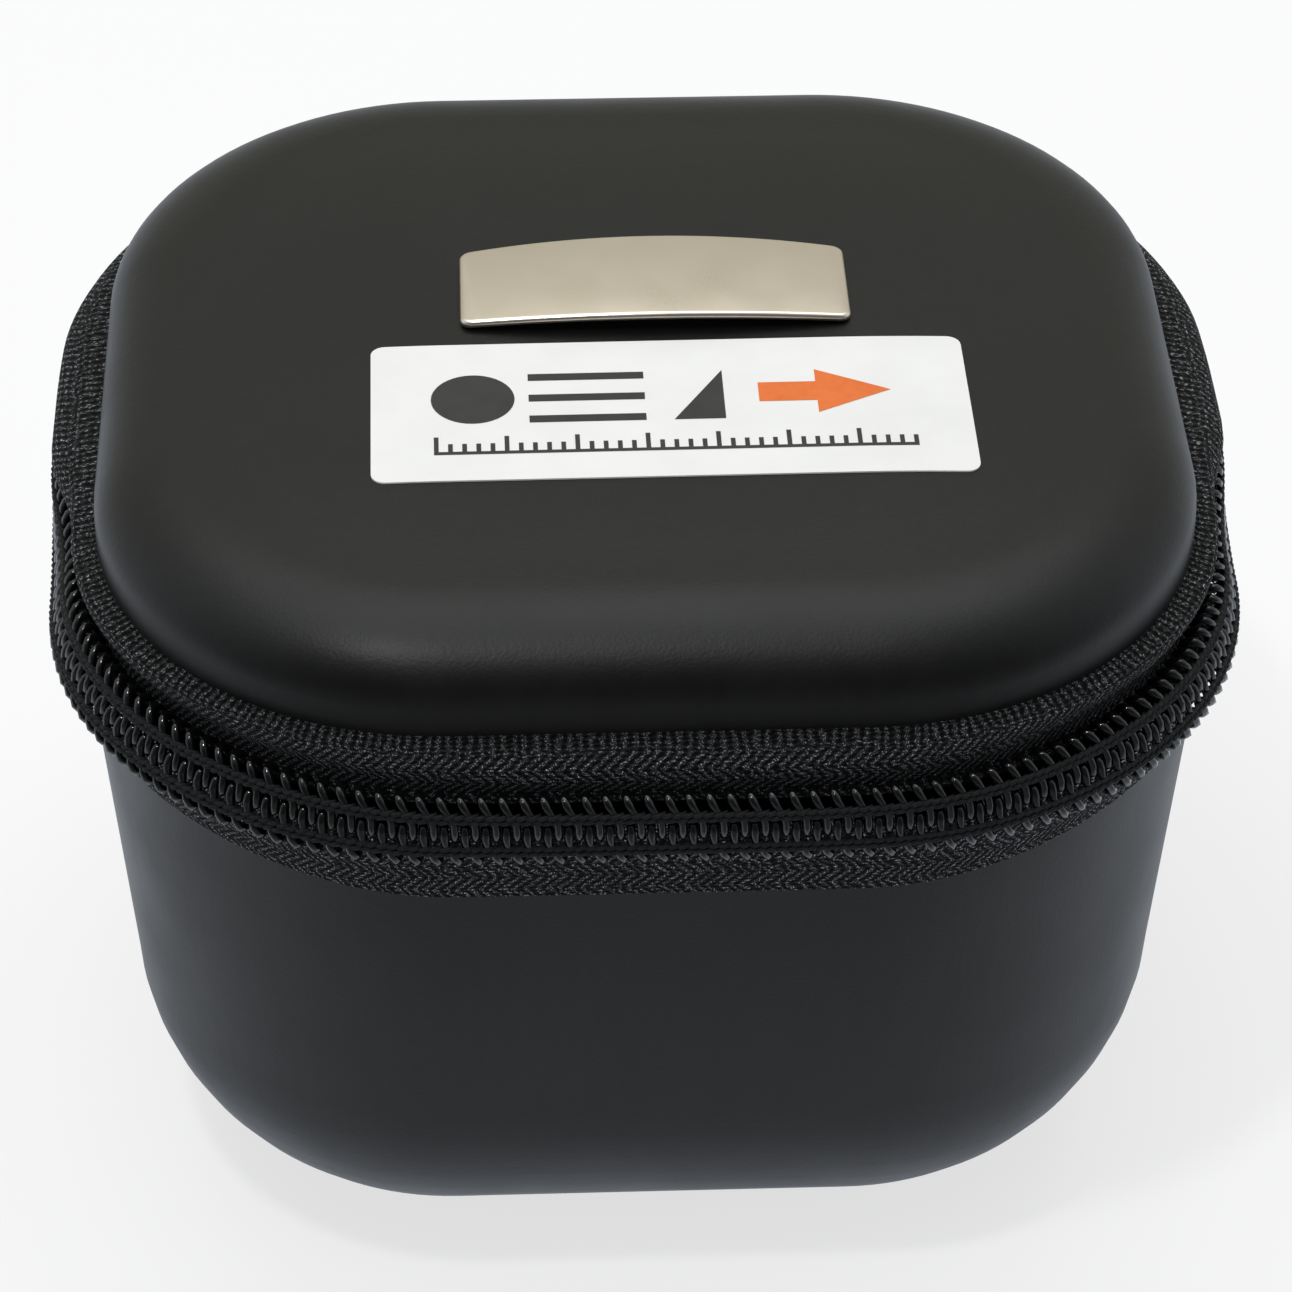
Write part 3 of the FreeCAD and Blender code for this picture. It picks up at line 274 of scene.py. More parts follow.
def brushed_cloth():
    """Brushed polyester lining: a short grey-black nap that catches a soft sheen."""
    made, tree, shader = surface("brushed polyester lining", "2b2d30", 0.9, Sheen_Weight=0.5,
                                 Sheen_Roughness=0.5)
    where = add(tree, "TexCoord").node.outputs["Object"]
    nap = add(tree, "TexNoise", [where, 1 / (0.4 * MM), 4.0, 0.7])
    brushed = add(tree, "TexNoise", [where, 1 / (7.0 * MM), 3.0, 0.55])
    tone = add(tree, "Math", [nap, brushed], operation="MULTIPLY")
    patterned(tree, shader, 0.15 * MM,
              Base_Color=add(tree, "Mix", [tone, "1d1f21", "4a4d52"], data_type="RGBA"),
              Normal=nap)
    return made


def sewing_thread():
    """Twisted polyester thread: fuzzy, near black, with bright specks off its filaments."""
    made, tree, shader = surface("polyester sewing thread", "101112", 0.6, Specular_IOR_Level=0.15)
    where = add(tree, "TexCoord").node.outputs["Object"]
    fuzz = add(tree, "TexNoise", [where, 1 / (0.2 * MM), 3.0, 0.7])
    patterned(tree, shader, 0.12 * MM,
              Base_Color=add(tree, "Mix", [fuzz, "040404", "2a2b2c"], data_type="RGBA"),
              Roughness=add(tree, "MapRange", [fuzz, 0.52, 0.66, 0.7, 0.16]),
              Normal=fuzz)
    return made


def foam_cells():
    """Cut polyethylene foam: closed grey cells about 0.8 mm wide, dull, with sliced cell walls."""
    made, tree, shader = surface("polyethylene foam", "3a3d41", 0.85)
    where = add(tree, "TexCoord").node.outputs["Object"]
    cells = add(tree, "TexVoronoi", [where, 1 / (0.8 * MM)])
    tone = add(tree, "MapRange", [cells, 0.1, 0.7, 0.0, 1.0])
    patterned(tree, shader, 0.2 * MM,
              Base_Color=add(tree, "Mix", [tone, "2a2c2f", "4b4e53"], data_type="RGBA"),
              Normal=cells)
    return made


def nickel_plate():
    """Satin nickel over zinc: warm and even, a little brighter where it is rubbed."""
    made, tree, shader = surface("satin nickel plate", "d9cfc0", 0.29, 1.0)
    where = add(tree, "TexCoord").node.outputs["Object"]
    cloud = add(tree, "TexNoise", [where, 1 / (5.0 * MM), 3.0, 0.55])
    patterned(tree, shader,
              Base_Color=add(tree, "Mix", [cloud, "d9cfc0", "ded4c6"], data_type="RGBA"),
              Roughness=add(tree, "MapRange", [cloud, 0.3, 0.7, 0.27, 0.31]))
    return made


SKIN = moulded_skin()
TAPE_CLOTH = woven_tape()
NAP = brushed_cloth()
STITCHING = sewing_thread()
FOAM = foam_cells()
NICKEL = nickel_plate()
# Drawn nylon monofilament: black and glossy, so its bends flash
NYLON = plain_finish("nylon monofilament", "060707", "0b0c0c", 0.1, grain=0.25, depth=0.004)
# Printed polyester label film: white, smooth and slightly glossy
FILM = plain_finish("polyester label film", "f1f1ef", "e9e9e6", 0.35, grain=0.6, depth=0.003, tone=9.0)
# Screen inks: flat and even, a little duller than the film
INK = plain_finish("black screen ink", "161616", "1f1f1e", 0.45, grain=0.2, depth=0.002)
ORANGE_INK = plain_finish("orange screen ink", "e8742a", "dd6a22", 0.45, grain=0.2, depth=0.002)
# Stoved enamel over die-cast zinc: even and glossy, slightly uneven where it pooled
ENAMEL = plain_finish("stoved black enamel", "121212", "1b1b1b", 0.28, grain=1.2, depth=0.02,
                      Coat_Weight=0.4)
# Hard-anodised aluminium: dark grey, matt, with the fine grain that blasting leaves
CASTING = plain_finish("anodised aluminium casting", "44474c", "50545a", 0.45, 0.85, grain=0.25,
                       depth=0.012)
ARM = plain_finish("anodised aluminium arm", "2f3236", "393c41", 0.4, 0.85, grain=0.25, depth=0.01)
# Ground steel and sintered carbide: bare metal, bright, with a grinder's fine grain
STEEL = plain_finish("ground steel", "b9bcc0", "a9adb2", 0.24, 1.0, grain=0.12, depth=0.004)
CARBIDE = plain_finish("tungsten carbide", "8b8d90", "77797d", 0.18, 1.0, grain=0.1, depth=0.002)
# Moulded rubber: nearly black and dull, so it reads as a soft grip
RUBBER = plain_finish("nitrile rubber", "1f1f20", "292929", 0.75, grain=0.3, depth=0.02)
# Moulded polyamide and acetal: coloured through, with a soft gloss
BLUE = plain_finish("blue polyamide", "1f4f9a", "1a458a", 0.42, grain=0.3, depth=0.01)
BLACK_SLIDE = plain_finish("black acetal", "1a1a1b", "232324", 0.38, grain=0.3, depth=0.01)
ANVIL = plain_finish("white acetal", "d9d8d2", "cdccc5", 0.4, grain=0.3, depth=0.01)
# Tinted polycarbonate: smooth and glossy, smoky brown; drawn opaque
SMOKED = plain_finish("smoked polycarbonate", "3c3531", "463e39", 0.2, grain=0.8, depth=0.004)


# Modelling

def alone(piece):
    """Selects one piece only and works on it."""
    bpy.ops.object.select_all(action="DESELECT")
    piece.select_set(True)
    bpy.context.view_layer.objects.active = piece


def begun(name, primitive, **settings):
    """Adds a primitive under a piece's name, with nothing else selected."""
    bpy.ops.object.select_all(action="DESELECT")
    primitive(**settings)
    piece = bpy.context.object
    piece.name = piece.data.name = name
    return piece


def modified(piece, kind, **settings):
    """Adds a modifier with its settings and applies it."""
    alone(piece)
    modifier = piece.modifiers.new(kind.title(), kind)
    for name, value in settings.items():
        setattr(modifier, name, value)
    bpy.ops.object.modifier_apply(modifier=modifier.name)


def fitted(piece, finish, body, nodes=(), smooth=40):
    """Puts a piece's place in its mesh, and gives it its shading, finish and, if it has one, body."""
    alone(piece)
    bpy.ops.object.transform_apply(location=True, rotation=True, scale=True)
    bpy.ops.object.shade_smooth_by_angle(angle=math.radians(smooth))
    piece.data.materials.clear()
    piece.data.materials.append(finish)
    if body:
        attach(piece, body)
    if nodes:
        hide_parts(*nodes)
    return piece


def base_inset(z):
    """How far the base's wall lies inside the zip's face at a height."""
    return BASE_INSET + (TAPE_EDGE - z) * BASE_DRAFT


def oval(across, height, steps=12):
    """Points round a quarter of an oval, from its side to its end, as shares run out and up."""
    turns = [math.pi / 2 * i / steps for i in range(steps + 1)]
    return [(across * (1 - math.cos(turn)), height * math.sin(turn)) for turn in turns]


def base_section(depth):
    """The base's section drawn in by depth, from its rim down to its flat, as (inset, z)."""
    foot = base_inset(BASE_FILLET[1])
    curve = oval(BASE_FILLET[0] - depth, BASE_FILLET[1] - depth)
    return ([(base_inset(BASE_RIM) + depth, BASE_RIM), (base_inset(TAPE_EDGE) + depth, TAPE_EDGE)]
            + [(foot + depth + out, BASE_FILLET[1] - down) for out, down in curve])


def lid_section(depth):
    """The lid's section drawn in by depth, from its rim up to its crown, as (inset, z)."""
    curve = oval(LID_FILLET[0] - depth, LID_FILLET[1] - depth)
    points = [(LID_INSET + depth, LID_RIM)]
    points += [(LID_INSET + depth + out, LID_RIM + LID_SIDE + up) for out, up in curve]
    for i in range(1, CROWN_RINGS + 1):
        left = CROWN_REACH * (1 - i / CROWN_RINGS)
        drop = CROWN_RADIUS - math.sqrt(CROWN_RADIUS ** 2 - left ** 2)
        # The last ring stops short of the corners' centres, so that its corners stay apart
        inset = CORNER - left - LAST_FLAT * (i == CROWN_RINGS)
        points.append((inset, LID_TOP + LID_CROWN - depth - drop))
    return points


def moulding(name, section, downward):
    """A sheet with the case's outline, carried along a section and closed by its last flat face."""
    inset, z = section[0]
    piece = begun(name, bpy.ops.mesh.primitive_plane_add, size=1, location=(0, 0, z))
    bpy.ops.object.mode_set(mode="EDIT")
    bpy.ops.transform.resize(value=(CASE_WIDTH - 2 * inset, CASE_DEPTH - 2 * inset, 1))
    bpy.ops.mesh.bevel(offset=CORNER - inset, segments=CORNER_STEPS, affect="VERTICES")
    bpy.ops.mesh.select_mode(type="FACE")
    bpy.ops.mesh.select_all(action="SELECT")
    if downward:
        bpy.ops.mesh.flip_normals()
    for (inset, z), (next_inset, next_z) in zip(section, section[1:]):
        bpy.ops.mesh.inset(thickness=next_inset - inset, depth=abs(next_z - z), use_even_offset=True)
    bpy.ops.object.mode_set(mode="OBJECT")
    return piece


def case_skins():
    """Both mouldings and their linings; the lid's are narrower between the sides."""
    for name, section, downward, depth, body, finish, slot, wall in (
            ("lid_skin", lid_section, False, 0.0, "case_lid", SKIN, "case_skin", SHELL_WALL),
            ("base_skin", base_section, True, 0.0, "case_base", SKIN, "case_skin", SHELL_WALL),
            ("lid_nap", lid_section, False, SHELL_WALL, "case_lid", NAP, "brushed_lining", LINING),
            ("base_nap", base_section, True, SHELL_WALL, "case_base", NAP, "brushed_lining", LINING)):
        piece = moulding(name, section(depth), downward)
        if body == "case_lid":
            alone(piece)
            narrowed = (1 - 2 * LID_NARROWER / CASE_WIDTH, 1, 1)
            bpy.ops.transform.resize(value=narrowed, center_override=(0, 0, 0))
        modified(piece, "SOLIDIFY", thickness=wall, offset=-1, use_even_offset=True)
        node = name.replace("skin", "shell").replace("nap", "lining")
        fitted(piece, finish, body, [node])


def corner_centre(heading):
    """The middle of the outline's corner that a heading in degrees belongs to."""
    turn = math.radians(heading)
    return Vector((math.copysign(STRAIGHT_X, math.cos(turn)), math.copysign(STRAIGHT_Y, math.sin(turn)), 0))


def outward(heading):
    """The level direction of a heading in degrees."""
    return Vector((math.cos(math.radians(heading)), math.sin(math.radians(heading)), 0))


def outline_place(x, y):
    """How far round to the right of the front's middle a point lies, and how far inside the outline."""
    side = -1 if x < 0 else 1
    x = abs(x)
    quarter = CORNER * math.pi / 2
    if x <= STRAIGHT_X:
        along = x if y < 0 else 2 * STRAIGHT_X + 2 * quarter + 2 * STRAIGHT_Y - x
        return side * along, STRAIGHT_Y + CORNER - abs(y)
    if abs(y) <= STRAIGHT_Y:
        return side * (STRAIGHT_X + quarter + y + STRAIGHT_Y), STRAIGHT_X + CORNER - x
    out = Vector((x - STRAIGHT_X, y - math.copysign(STRAIGHT_Y, y)))
    turn = math.atan2(out.y, out.x)
    along = STRAIGHT_X + quarter + CORNER * turn + (2 * STRAIGHT_Y if y > 0 else 0)
    return side * along, CORNER - out.length


def outline_heading(x, y):
    """Which way the outline faces beside a point, in degrees."""
    reach = Vector((max(abs(x) - STRAIGHT_X, 0), max(abs(y) - STRAIGHT_Y, 0)))
    return math.degrees(math.atan2(math.copysign(reach.y, y), math.copysign(reach.x, x)))


def swept(name, section, start, end, behind=False):
    """A section of (inset, z) points carried round the outline between two headings in degrees.

    Its cloth's map is measured from the front's middle, or from the back's for a piece behind."""
    points = [corner_centre(start) + outward(start) * (CORNER - inset) + Vector((0, 0, z))
              for inset, z in section]
    piece = begun(name, bpy.ops.mesh.primitive_plane_add, size=MM)
    bpy.ops.object.mode_set(mode="EDIT")
    bpy.ops.mesh.select_mode(type="VERT")
    bpy.ops.mesh.merge(type="CENTER")
    bpy.ops.transform.translate(value=points[0])
    for point, following in zip(points, points[1:]):
        bpy.ops.mesh.extrude_vertices_move(TRANSFORM_OT_translate={"value": following - point})
    bpy.ops.mesh.select_all(action="SELECT")
    heading = start
    while heading < end:
        turned = min(end, 90 * math.floor(heading / 90 + 1))
        centre = corner_centre((heading + turned) / 2)
        steps = math.ceil((turned - heading) / 90 * CORNER_STEPS)
        # The operator turns clockwise by a positive angle
        bpy.ops.mesh.spin(steps=steps, angle=-math.radians(turned - heading), center=centre, axis=(0, 0, 1))
        heading = turned
        if heading < end:
            run = 2 * (STRAIGHT_X if heading % 180 == 90 else STRAIGHT_Y)
            pieces = math.ceil(run / CLOTH_STEP)
            step = outward(heading + 90) * run / pieces
            for _ in range(pieces):
                bpy.ops.mesh.extrude_region_move(TRANSFORM_OT_translate={"value": step})
    bpy.ops.mesh.select_all(action="SELECT")
    bpy.ops.mesh.remove_doubles(threshold=0.001 * MM)
    bpy.ops.mesh.normals_make_consistent(inside=False)
    bpy.ops.object.mode_set(mode="OBJECT")
    reach = [0.0]
    for (a, b), (c, d) in zip(section, section[1:]):
        reach.append(reach[-1] + math.hypot(c - a, d - b))
    layer = piece.data.uv_layers.new(name="wrap")
    for loop in piece.data.loops:
        spot = piece.data.vertices[loop.vertex_index].co
        along, inset = outline_place(spot.x, spot.y)
        if behind:
            along -= math.copysign(HALF_WAY, along)
        gaps = [math.hypot(a - inset, b - spot.z) for a, b in section]
        layer.data[loop.index].uv = (along / MM, reach[gaps.index(min(gaps))] / MM)
    return piece


def eased(value, low, high):
    """0 below low, 1 above high and smooth between."""
    share = min(1.0, max(0.0, (value - low) / (high - low)))
    return share * share * (3 - 2 * share)


def zip_set(along):
    """How far the chain leans in at its top, and how far it sags, at a distance from the front's middle."""
    left = abs(along) / MM
    round_corner = eased(left, *ZIP_ROUNDS)
    upright = 1 - eased(left, *ZIP_UPRIGHT)
    lean = (ZIP_LEAN[0] + (ZIP_LEAN[1] - ZIP_LEAN[0]) * round_corner) * upright
    return math.radians(lean), ZIP_SAG * (1 - round_corner)


def settle_tape(piece):
    """Leans a tape in with the chain, lets the lower tape's raw edge rise towards the corners, bulges the
    upper tape over the coil at the sides, and draws its top in to the narrower lid."""
    foot, head = ZIP_HEIGHT - ZIP_FOOT, ZIP_HEIGHT + ZIP_FOOT
    for vertex in piece.data.vertices:
        spot = vertex.co
        along, _ = outline_place(spot.x, spot.y)
        lean, _ = zip_set(along)
        way = abs(along) / MM
        out = outward(outline_heading(spot.x, spot.y))
        shift = math.tan(lean) * max(0.0, min(spot.z, head) - foot)
        shift *= 1 - eased(spot.z, head, LID_RIM)
        side = eased(way, *BULGE_GROWS) * (1 - BULGE_LOSS * eased(way, *BULGE_SHRINKS))
        hump = eased(spot.z, head + BULGE_FROM_HEAD[0], head + BULGE_FROM_HEAD[1])
        hump *= 1 - eased(spot.z, LID_RIM - BULGE_TO_LID, LID_RIM)
        shift -= TAPE_BULGE * side * hump
        if spot.z > LID_RIM - LID_JOIN:
            shift += LID_NARROWER * abs(out.x)
        rise = (1 - eased(spot.z, TAPE_EDGE, foot - MM)) * eased(way, *RISE_GROWS) * TAPE_RISE
        vertex.co = spot - out * shift + Vector((0, 0, rise))


def tapes():
    """The two tapes that carry the coil, rolled out over the rims, and the cloth hinge behind."""
    z = ZIP_HEIGHT / MM
    rim = LID_RIM / MM
    upper = [(2.6, z + 0.9), (2.5, z + 2.2), (2.2, z + 2.9), (1.95, z + 3.5), (1.85, z + 4.2),
             (1.95, z + 4.85), (2.2, z + 5.45), (2.6, z + 6.0), (3.1, z + 6.4), (3.8, z + 6.75),
             (4.5, rim + 0.05)]
    lower = [(3.6, TAPE_EDGE / MM), (3.35, 52.2), (3.1, 54.0), (2.85, 55.6), (2.6, 56.8), (2.5, 57.8),
             (2.5, 58.8), (2.6, z - 0.9)]
    for name, points, body, nodes in (("upper_tape", upper, "case_lid", ["lid_tape", "lid_tape_corner"]),
                                      ("lower_tape", lower, "case_base", ["base_tape"])):
        section = [(inset * MM, height * MM) for inset, height in points]
        piece = swept(name, section, *ROUND_FRONT)
        settle_tape(piece)
        modified(piece, "SOLIDIFY", thickness=TAPE, offset=-1, use_even_offset=True)
        fitted(piece, TAPE_CLOTH, body, nodes, smooth=60)
    strip = [(3.35, 50.8), (3.1, 53.0), (2.7, 55.3), (1.9, 57.2), (0.8, 59.0), (0.5, z), (0.8, 62.4),
             (1.7, 64.3), (2.8, 66.0), (4.0, 67.1), (4.5, rim + 0.05)]
    piece = swept("back_hinge_cloth", [(inset * MM, height * MM) for inset, height in strip],
                  HINGE_EDGE, 180 - HINGE_EDGE, behind=True)
    modified(piece, "SOLIDIFY", thickness=TAPE, offset=-1, use_even_offset=True)
    fitted(piece, TAPE_CLOTH, None, ["cloth_hinge"], smooth=60)
    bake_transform(piece)


def filament(name, points, width, steps):
    """A short bent filament through (x, y, z, share of the width), in millimetres."""
    piece = begun(name, bpy.ops.curve.primitive_bezier_curve_add)
    knots = piece.data.splines[0].bezier_points
    knots.add(len(points) - 2)
    for knot, (x, y, z, share) in zip(knots, points):
        knot.co = Vector((x, y, z)) * MM
        knot.radius = share
        knot.handle_left_type = knot.handle_right_type = "AUTO"
    piece.data.resolution_u = steps
    piece.data.bevel_depth = width / 2
    piece.data.bevel_resolution = 1
    piece.data.use_fill_caps = True
    bpy.ops.object.convert(target="MESH")
    return bpy.context.object


def zip_place(along):
    """The frame at a distance right of the front's middle: x along the zip, y inwards, z up."""
    radius = CORNER - CHAIN_THICKNESS / 2
    quarter = radius * math.pi / 2
    left = abs(along)
    if left <= STRAIGHT_X:
        spot, heading = Vector((left, -STRAIGHT_Y - CORNER, 0)), -90.0
    elif left <= STRAIGHT_X + quarter:
        heading = -90 + math.degrees((left - STRAIGHT_X) / radius)
        spot = corner_centre(-45) + outward(heading) * CORNER
    elif left <= STRAIGHT_X + quarter + 2 * STRAIGHT_Y:
        spot, heading = Vector((STRAIGHT_X + CORNER, left - STRAIGHT_X - quarter - STRAIGHT_Y, 0)), 0.0
    else:
        heading = math.degrees((left - STRAIGHT_X - quarter - 2 * STRAIGHT_Y) / radius)
        spot = corner_centre(45) + outward(heading) * CORNER
    if along < 0:
        spot.x, heading = -spot.x, 180 - heading
    lean, sag = zip_set(along)
    spot = spot - outward(heading) * ZIP_FACE + Vector((0, 0, ZIP_HEIGHT - sag - ZIP_FOOT))
    return (Matrix.Translation(spot) @ Matrix.Rotation(math.radians(heading + 90), 4, "Z")
            @ Matrix.Rotation(-lean, 4, "X") @ Matrix.Translation((0, 0, ZIP_FOOT)))


def repeated(name, source, places):
    """A copy of a modelled piece at each place, each with its own mesh, joined under one name."""
    copies = []
    for place in places:
        copy = source.copy()
        copy.data = source.data.copy()
        copy.matrix_world = place
        bpy.context.scene.collection.objects.link(copy)
        copies.append(copy)
    alone(copies[0])
    for copy in copies:
        copy.select_set(True)
    bpy.ops.object.join()
    joined = bpy.context.object
    joined.name = joined.data.name = name
    bpy.data.objects.remove(source)
    return joined


def coil_zip():
    """Both halves of the coil, the lower one upside down and half a pitch on, with their stitches."""
    radius = CORNER - CHAIN_THICKNESS / 2
    half = STRAIGHT_X + 2 * STRAIGHT_Y + radius * (math.pi / 2 + math.radians(ZIP_END))
    count = int(half / TOOTH_PITCH)
    stations = [TOOTH_PITCH * i for i in range(-count, count + 1)]
    # One turn of the upper half: from behind its outer bend, down the slanting leg, round the head
    turn = [(-1.00, 2.05, 2.70, 0.95), (-1.22, 1.35, 3.10, 1.0), (-1.08, 0.62, 2.88, 1.0),
            (-0.50, 0.45, 1.85, 0.9), (-0.05, 0.36, 0.95, 0.98), (0.0, 0.36, -0.25, 1.05),
            (0.0, 0.95, -0.66, 1.0), (0.0, 1.80, -0.10, 0.9)]
    stitch = [(-0.72, 0.55, -0.12, 0.45), (-0.35, 0.16, -0.05, 1.0), (0.2, 0.12, 0.06, 1.0),
              (0.72, 0.5, 0.14, 0.45)]
    upside_down = Matrix.Rotation(math.pi, 4, "Y")
    for side, body, nodes, flip, shift in (
            ("upper", "case_lid", ["lid_coil", "lid_coil_corner"], Matrix(), 0.0),
            ("lower", "case_base", ["base_coil", "base_coil_corner"], upside_down, TOOTH_PITCH / 2)):
        places = [zip_place(station + shift) @ flip for station in stations[:-1]]
        teeth = repeated(f"{side}_coil", filament("coil_turn", turn, FILAMENT, 2), places)
        fitted(teeth, NYLON, body, nodes, smooth=80)
        for row, level in enumerate(STITCH_LEVELS):
            lift = Matrix.Translation((0, 0, level))
            sewn = [zip_place(station + shift + TOOTH_PITCH / 2 * (k + row / 2)) @ flip @ lift
                    for station in stations[:-1] for k in (0, 1)]
            threads = repeated(f"{side}_stitches_{row}", filament("stitch", stitch, THREAD, 2), sewn)
            fitted(threads, STITCHING, body, smooth=80)


def badge():
    """The arched, bevelled nickel badge, left bare."""
    cx, cy = BADGE_CENTRE
    length, width, thickness = BADGE_SIZE
    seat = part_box("badge")[0].z
    piece = begun("badge_plate", bpy.ops.mesh.primitive_plane_add, size=1, location=(cx, cy, seat))
    bpy.ops.object.mode_set(mode="EDIT")
    bpy.ops.transform.resize(value=(length, width, 1))
    bpy.ops.mesh.bevel(offset=BADGE_CORNER, segments=6, affect="VERTICES")
    bpy.ops.mesh.select_all(action="SELECT")
    bpy.ops.mesh.extrude_region_move(TRANSFORM_OT_translate={"value": (0, 0, thickness)})
    for i in range(1, BADGE_SLICES):
        bpy.ops.mesh.select_all(action="SELECT")
        x = cx - length / 2 + length * i / BADGE_SLICES
        bpy.ops.mesh.bisect(plane_co=(x, 0, 0), plane_no=(1, 0, 0))
    bpy.ops.mesh.select_all(action="SELECT")
    bpy.ops.mesh.normals_make_consistent(inside=False)
    bpy.ops.object.mode_set(mode="OBJECT")
    middle = cy - piece.location.y
    for vertex in piece.data.vertices:
        share = (vertex.co.x + piece.location.x - cx) / (length / 2)
        arch = 1 - share ** 2
        vertex.co.z += BADGE_ARCH * arch
        vertex.co.y = middle + (vertex.co.y - middle) * (BADGE_WAIST[0] + BADGE_WAIST[1] * arch)
    modified(piece, "BEVEL", width=BADGE_EDGE, segments=5, limit_method="ANGLE",
             angle_limit=math.radians(50))
    fitted(piece, NICKEL, "case_lid", ["badge"], smooth=35)


def flat_shape(name, points, z):
    """A thin printed shape with its corners at points, in millimetres from the label's middle."""
    piece = begun(name, bpy.ops.mesh.primitive_plane_add, size=MM, location=(0, 0, 0))
    bpy.ops.object.mode_set(mode="EDIT")
    bpy.ops.mesh.select_mode(type="VERT")
    bpy.ops.mesh.merge(type="CENTER")
    corners = [Vector((x * MM, y * MM, z)) for x, y in points]
    bpy.ops.transform.translate(value=corners[0])
    for point, following in zip(corners, corners[1:]):
        bpy.ops.mesh.extrude_vertices_move(TRANSFORM_OT_translate={"value": following - point})
    bpy.ops.mesh.select_all(action="SELECT")
    bpy.ops.mesh.edge_face_add()
    bpy.ops.object.mode_set(mode="OBJECT")
    if piece.data.polygons[0].normal.z < 0:
        bpy.ops.object.mode_set(mode="EDIT")
        bpy.ops.mesh.flip_normals()
        bpy.ops.object.mode_set(mode="OBJECT")
    return piece


def disc(x, y, radius, steps=40):
    """Points round a circle."""
    turns = [2 * math.pi * i / steps for i in range(steps)]
    return [(x + radius * math.cos(turn), y + radius * math.sin(turn)) for turn in turns]


def bar(x0, x1, y0, y1):
    """The corners of an upright rectangle."""
    return [(x0, y0), (x1, y0), (x1, y1), (x0, y1)]


def diced(piece, step=2.0 * MM):
    """Cuts a flat piece into cells, so that it can follow a curved surface."""
    alone(piece)
    bpy.ops.object.mode_set(mode="EDIT")
    for axis, normal in enumerate(((1, 0, 0), (0, 1, 0))):
        spots = [vertex.co[axis] for vertex in piece.data.vertices]
        cell = math.floor(min(spots) / step) + 1
        while cell * step < max(spots):
            bpy.ops.mesh.select_all(action="SELECT")
            bpy.ops.mesh.bisect(plane_co=[cell * step * n for n in normal], plane_no=normal)
            cell += 1
    bpy.ops.object.mode_set(mode="OBJECT")


def laid(piece, ground, offset, thickness):
    """Drops a flat piece on the surface below it and gives it a thickness."""
    modified(piece, "SHRINKWRAP", target=ground, wrap_method="PROJECT", use_project_z=True,
             use_negative_direction=True, use_positive_direction=True, offset=offset)
    modified(piece, "SOLIDIFY", thickness=thickness, offset=1)


def label():
    """The film, and a plain pictogram on it: a wheel, three strands, a wedge, an arrow and ticks."""
    turned = Matrix.Translation((*LABEL_CENTRE, 0)) @ Matrix.Rotation(LABEL_TURN, 4, "Z")
    skin = bpy.data.objects["lid_skin"]
    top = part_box("lid_label")[1].z
    half_x, half_y = LABEL_SIZE[0] / 2 / MM, LABEL_SIZE[1] / 2 / MM
    corner = LABEL_CORNER / MM
    sheet = [(sx * (half_x - corner) + corner * math.cos(turn),
              sy * (half_y - corner) + corner * math.sin(turn))
             for sx, sy, start in ((1, 1, 0), (-1, 1, 1), (-1, -1, 2), (1, -1, 3))
             for turn in [math.pi / 2 * (start + i / 6) for i in range(7)]]
    film = flat_shape("label_film", sheet, top + MM)
    diced(film)
    film.data.transform(turned)
    laid(film, skin, 0.0, FILM_THICKNESS)
    fitted(film, FILM, "case_lid", ["lid_label"], smooth=30)
    black = [disc(-17.0, 1.6, 3.6), bar(-12.2, -2.2, 4.2, 5.2), bar(-12.2, -2.2, 1.1, 2.1),
             bar(-12.2, -2.2, -2.0, -1.0), [(0.2, -2.0), (4.6, -2.0), (4.6, 5.2)]]
    black += [bar(-20.4 + TICK_PITCH * i, -20.0 + TICK_PITCH * i, -6.0, -4.9 if i % 5 else -3.9)
              for i in range(TICKS)]
    black.append(bar(-20.4, 20.8, -6.4, -6.0))
    orange = [[(7.6, 0.4), (12.6, 0.4), (12.6, -1.4), (19.0, 1.8), (12.6, 5.0), (12.6, 3.2), (7.6, 3.2)]]
    for name, shapes, ink in (("label_print_black", black, INK),
                              ("label_print_orange", orange, ORANGE_INK)):
        parts = [flat_shape(name, shape, top + MM) for shape in shapes]
        alone(parts[0])
        for part in parts:
            part.select_set(True)
        if len(parts) > 1:
            bpy.ops.object.join()
        piece = bpy.context.object
        piece.name = piece.data.name = name
        diced(piece)
        piece.data.transform(turned)
        laid(piece, film, INK_GAP, INK_THICKNESS)
        fitted(piece, ink, "case_lid")


def copied(name, node):
    """A piece with a CAD node's shape, its seams merged and its flat faces whole again."""
    piece = bpy.data.objects.new(name, frame["nodes"][node].data.copy())
    bpy.context.scene.collection.objects.link(piece)
    alone(piece)
    bpy.ops.object.mode_set(mode="EDIT")
    bpy.ops.mesh.select_all(action="SELECT")
    bpy.ops.mesh.remove_doubles(threshold=0.004 * MM)
    bpy.ops.mesh.dissolve_limited(angle_limit=math.radians(1.0))
    bpy.ops.object.mode_set(mode="OBJECT")
    return piece


def foam_layers():
    """Both foam layers, their cut edges softened and slightly uneven."""
    for node in ("foam_insert", "foam_floor"):
        piece = copied(f"{node}_cut", node)
        modified(piece, "REMESH", mode="VOXEL", voxel_size=1.1 * MM)
        modified(piece, "SMOOTH", factor=0.5, iterations=3)
        fitted(piece, FOAM, "case_base", [node], smooth=60)


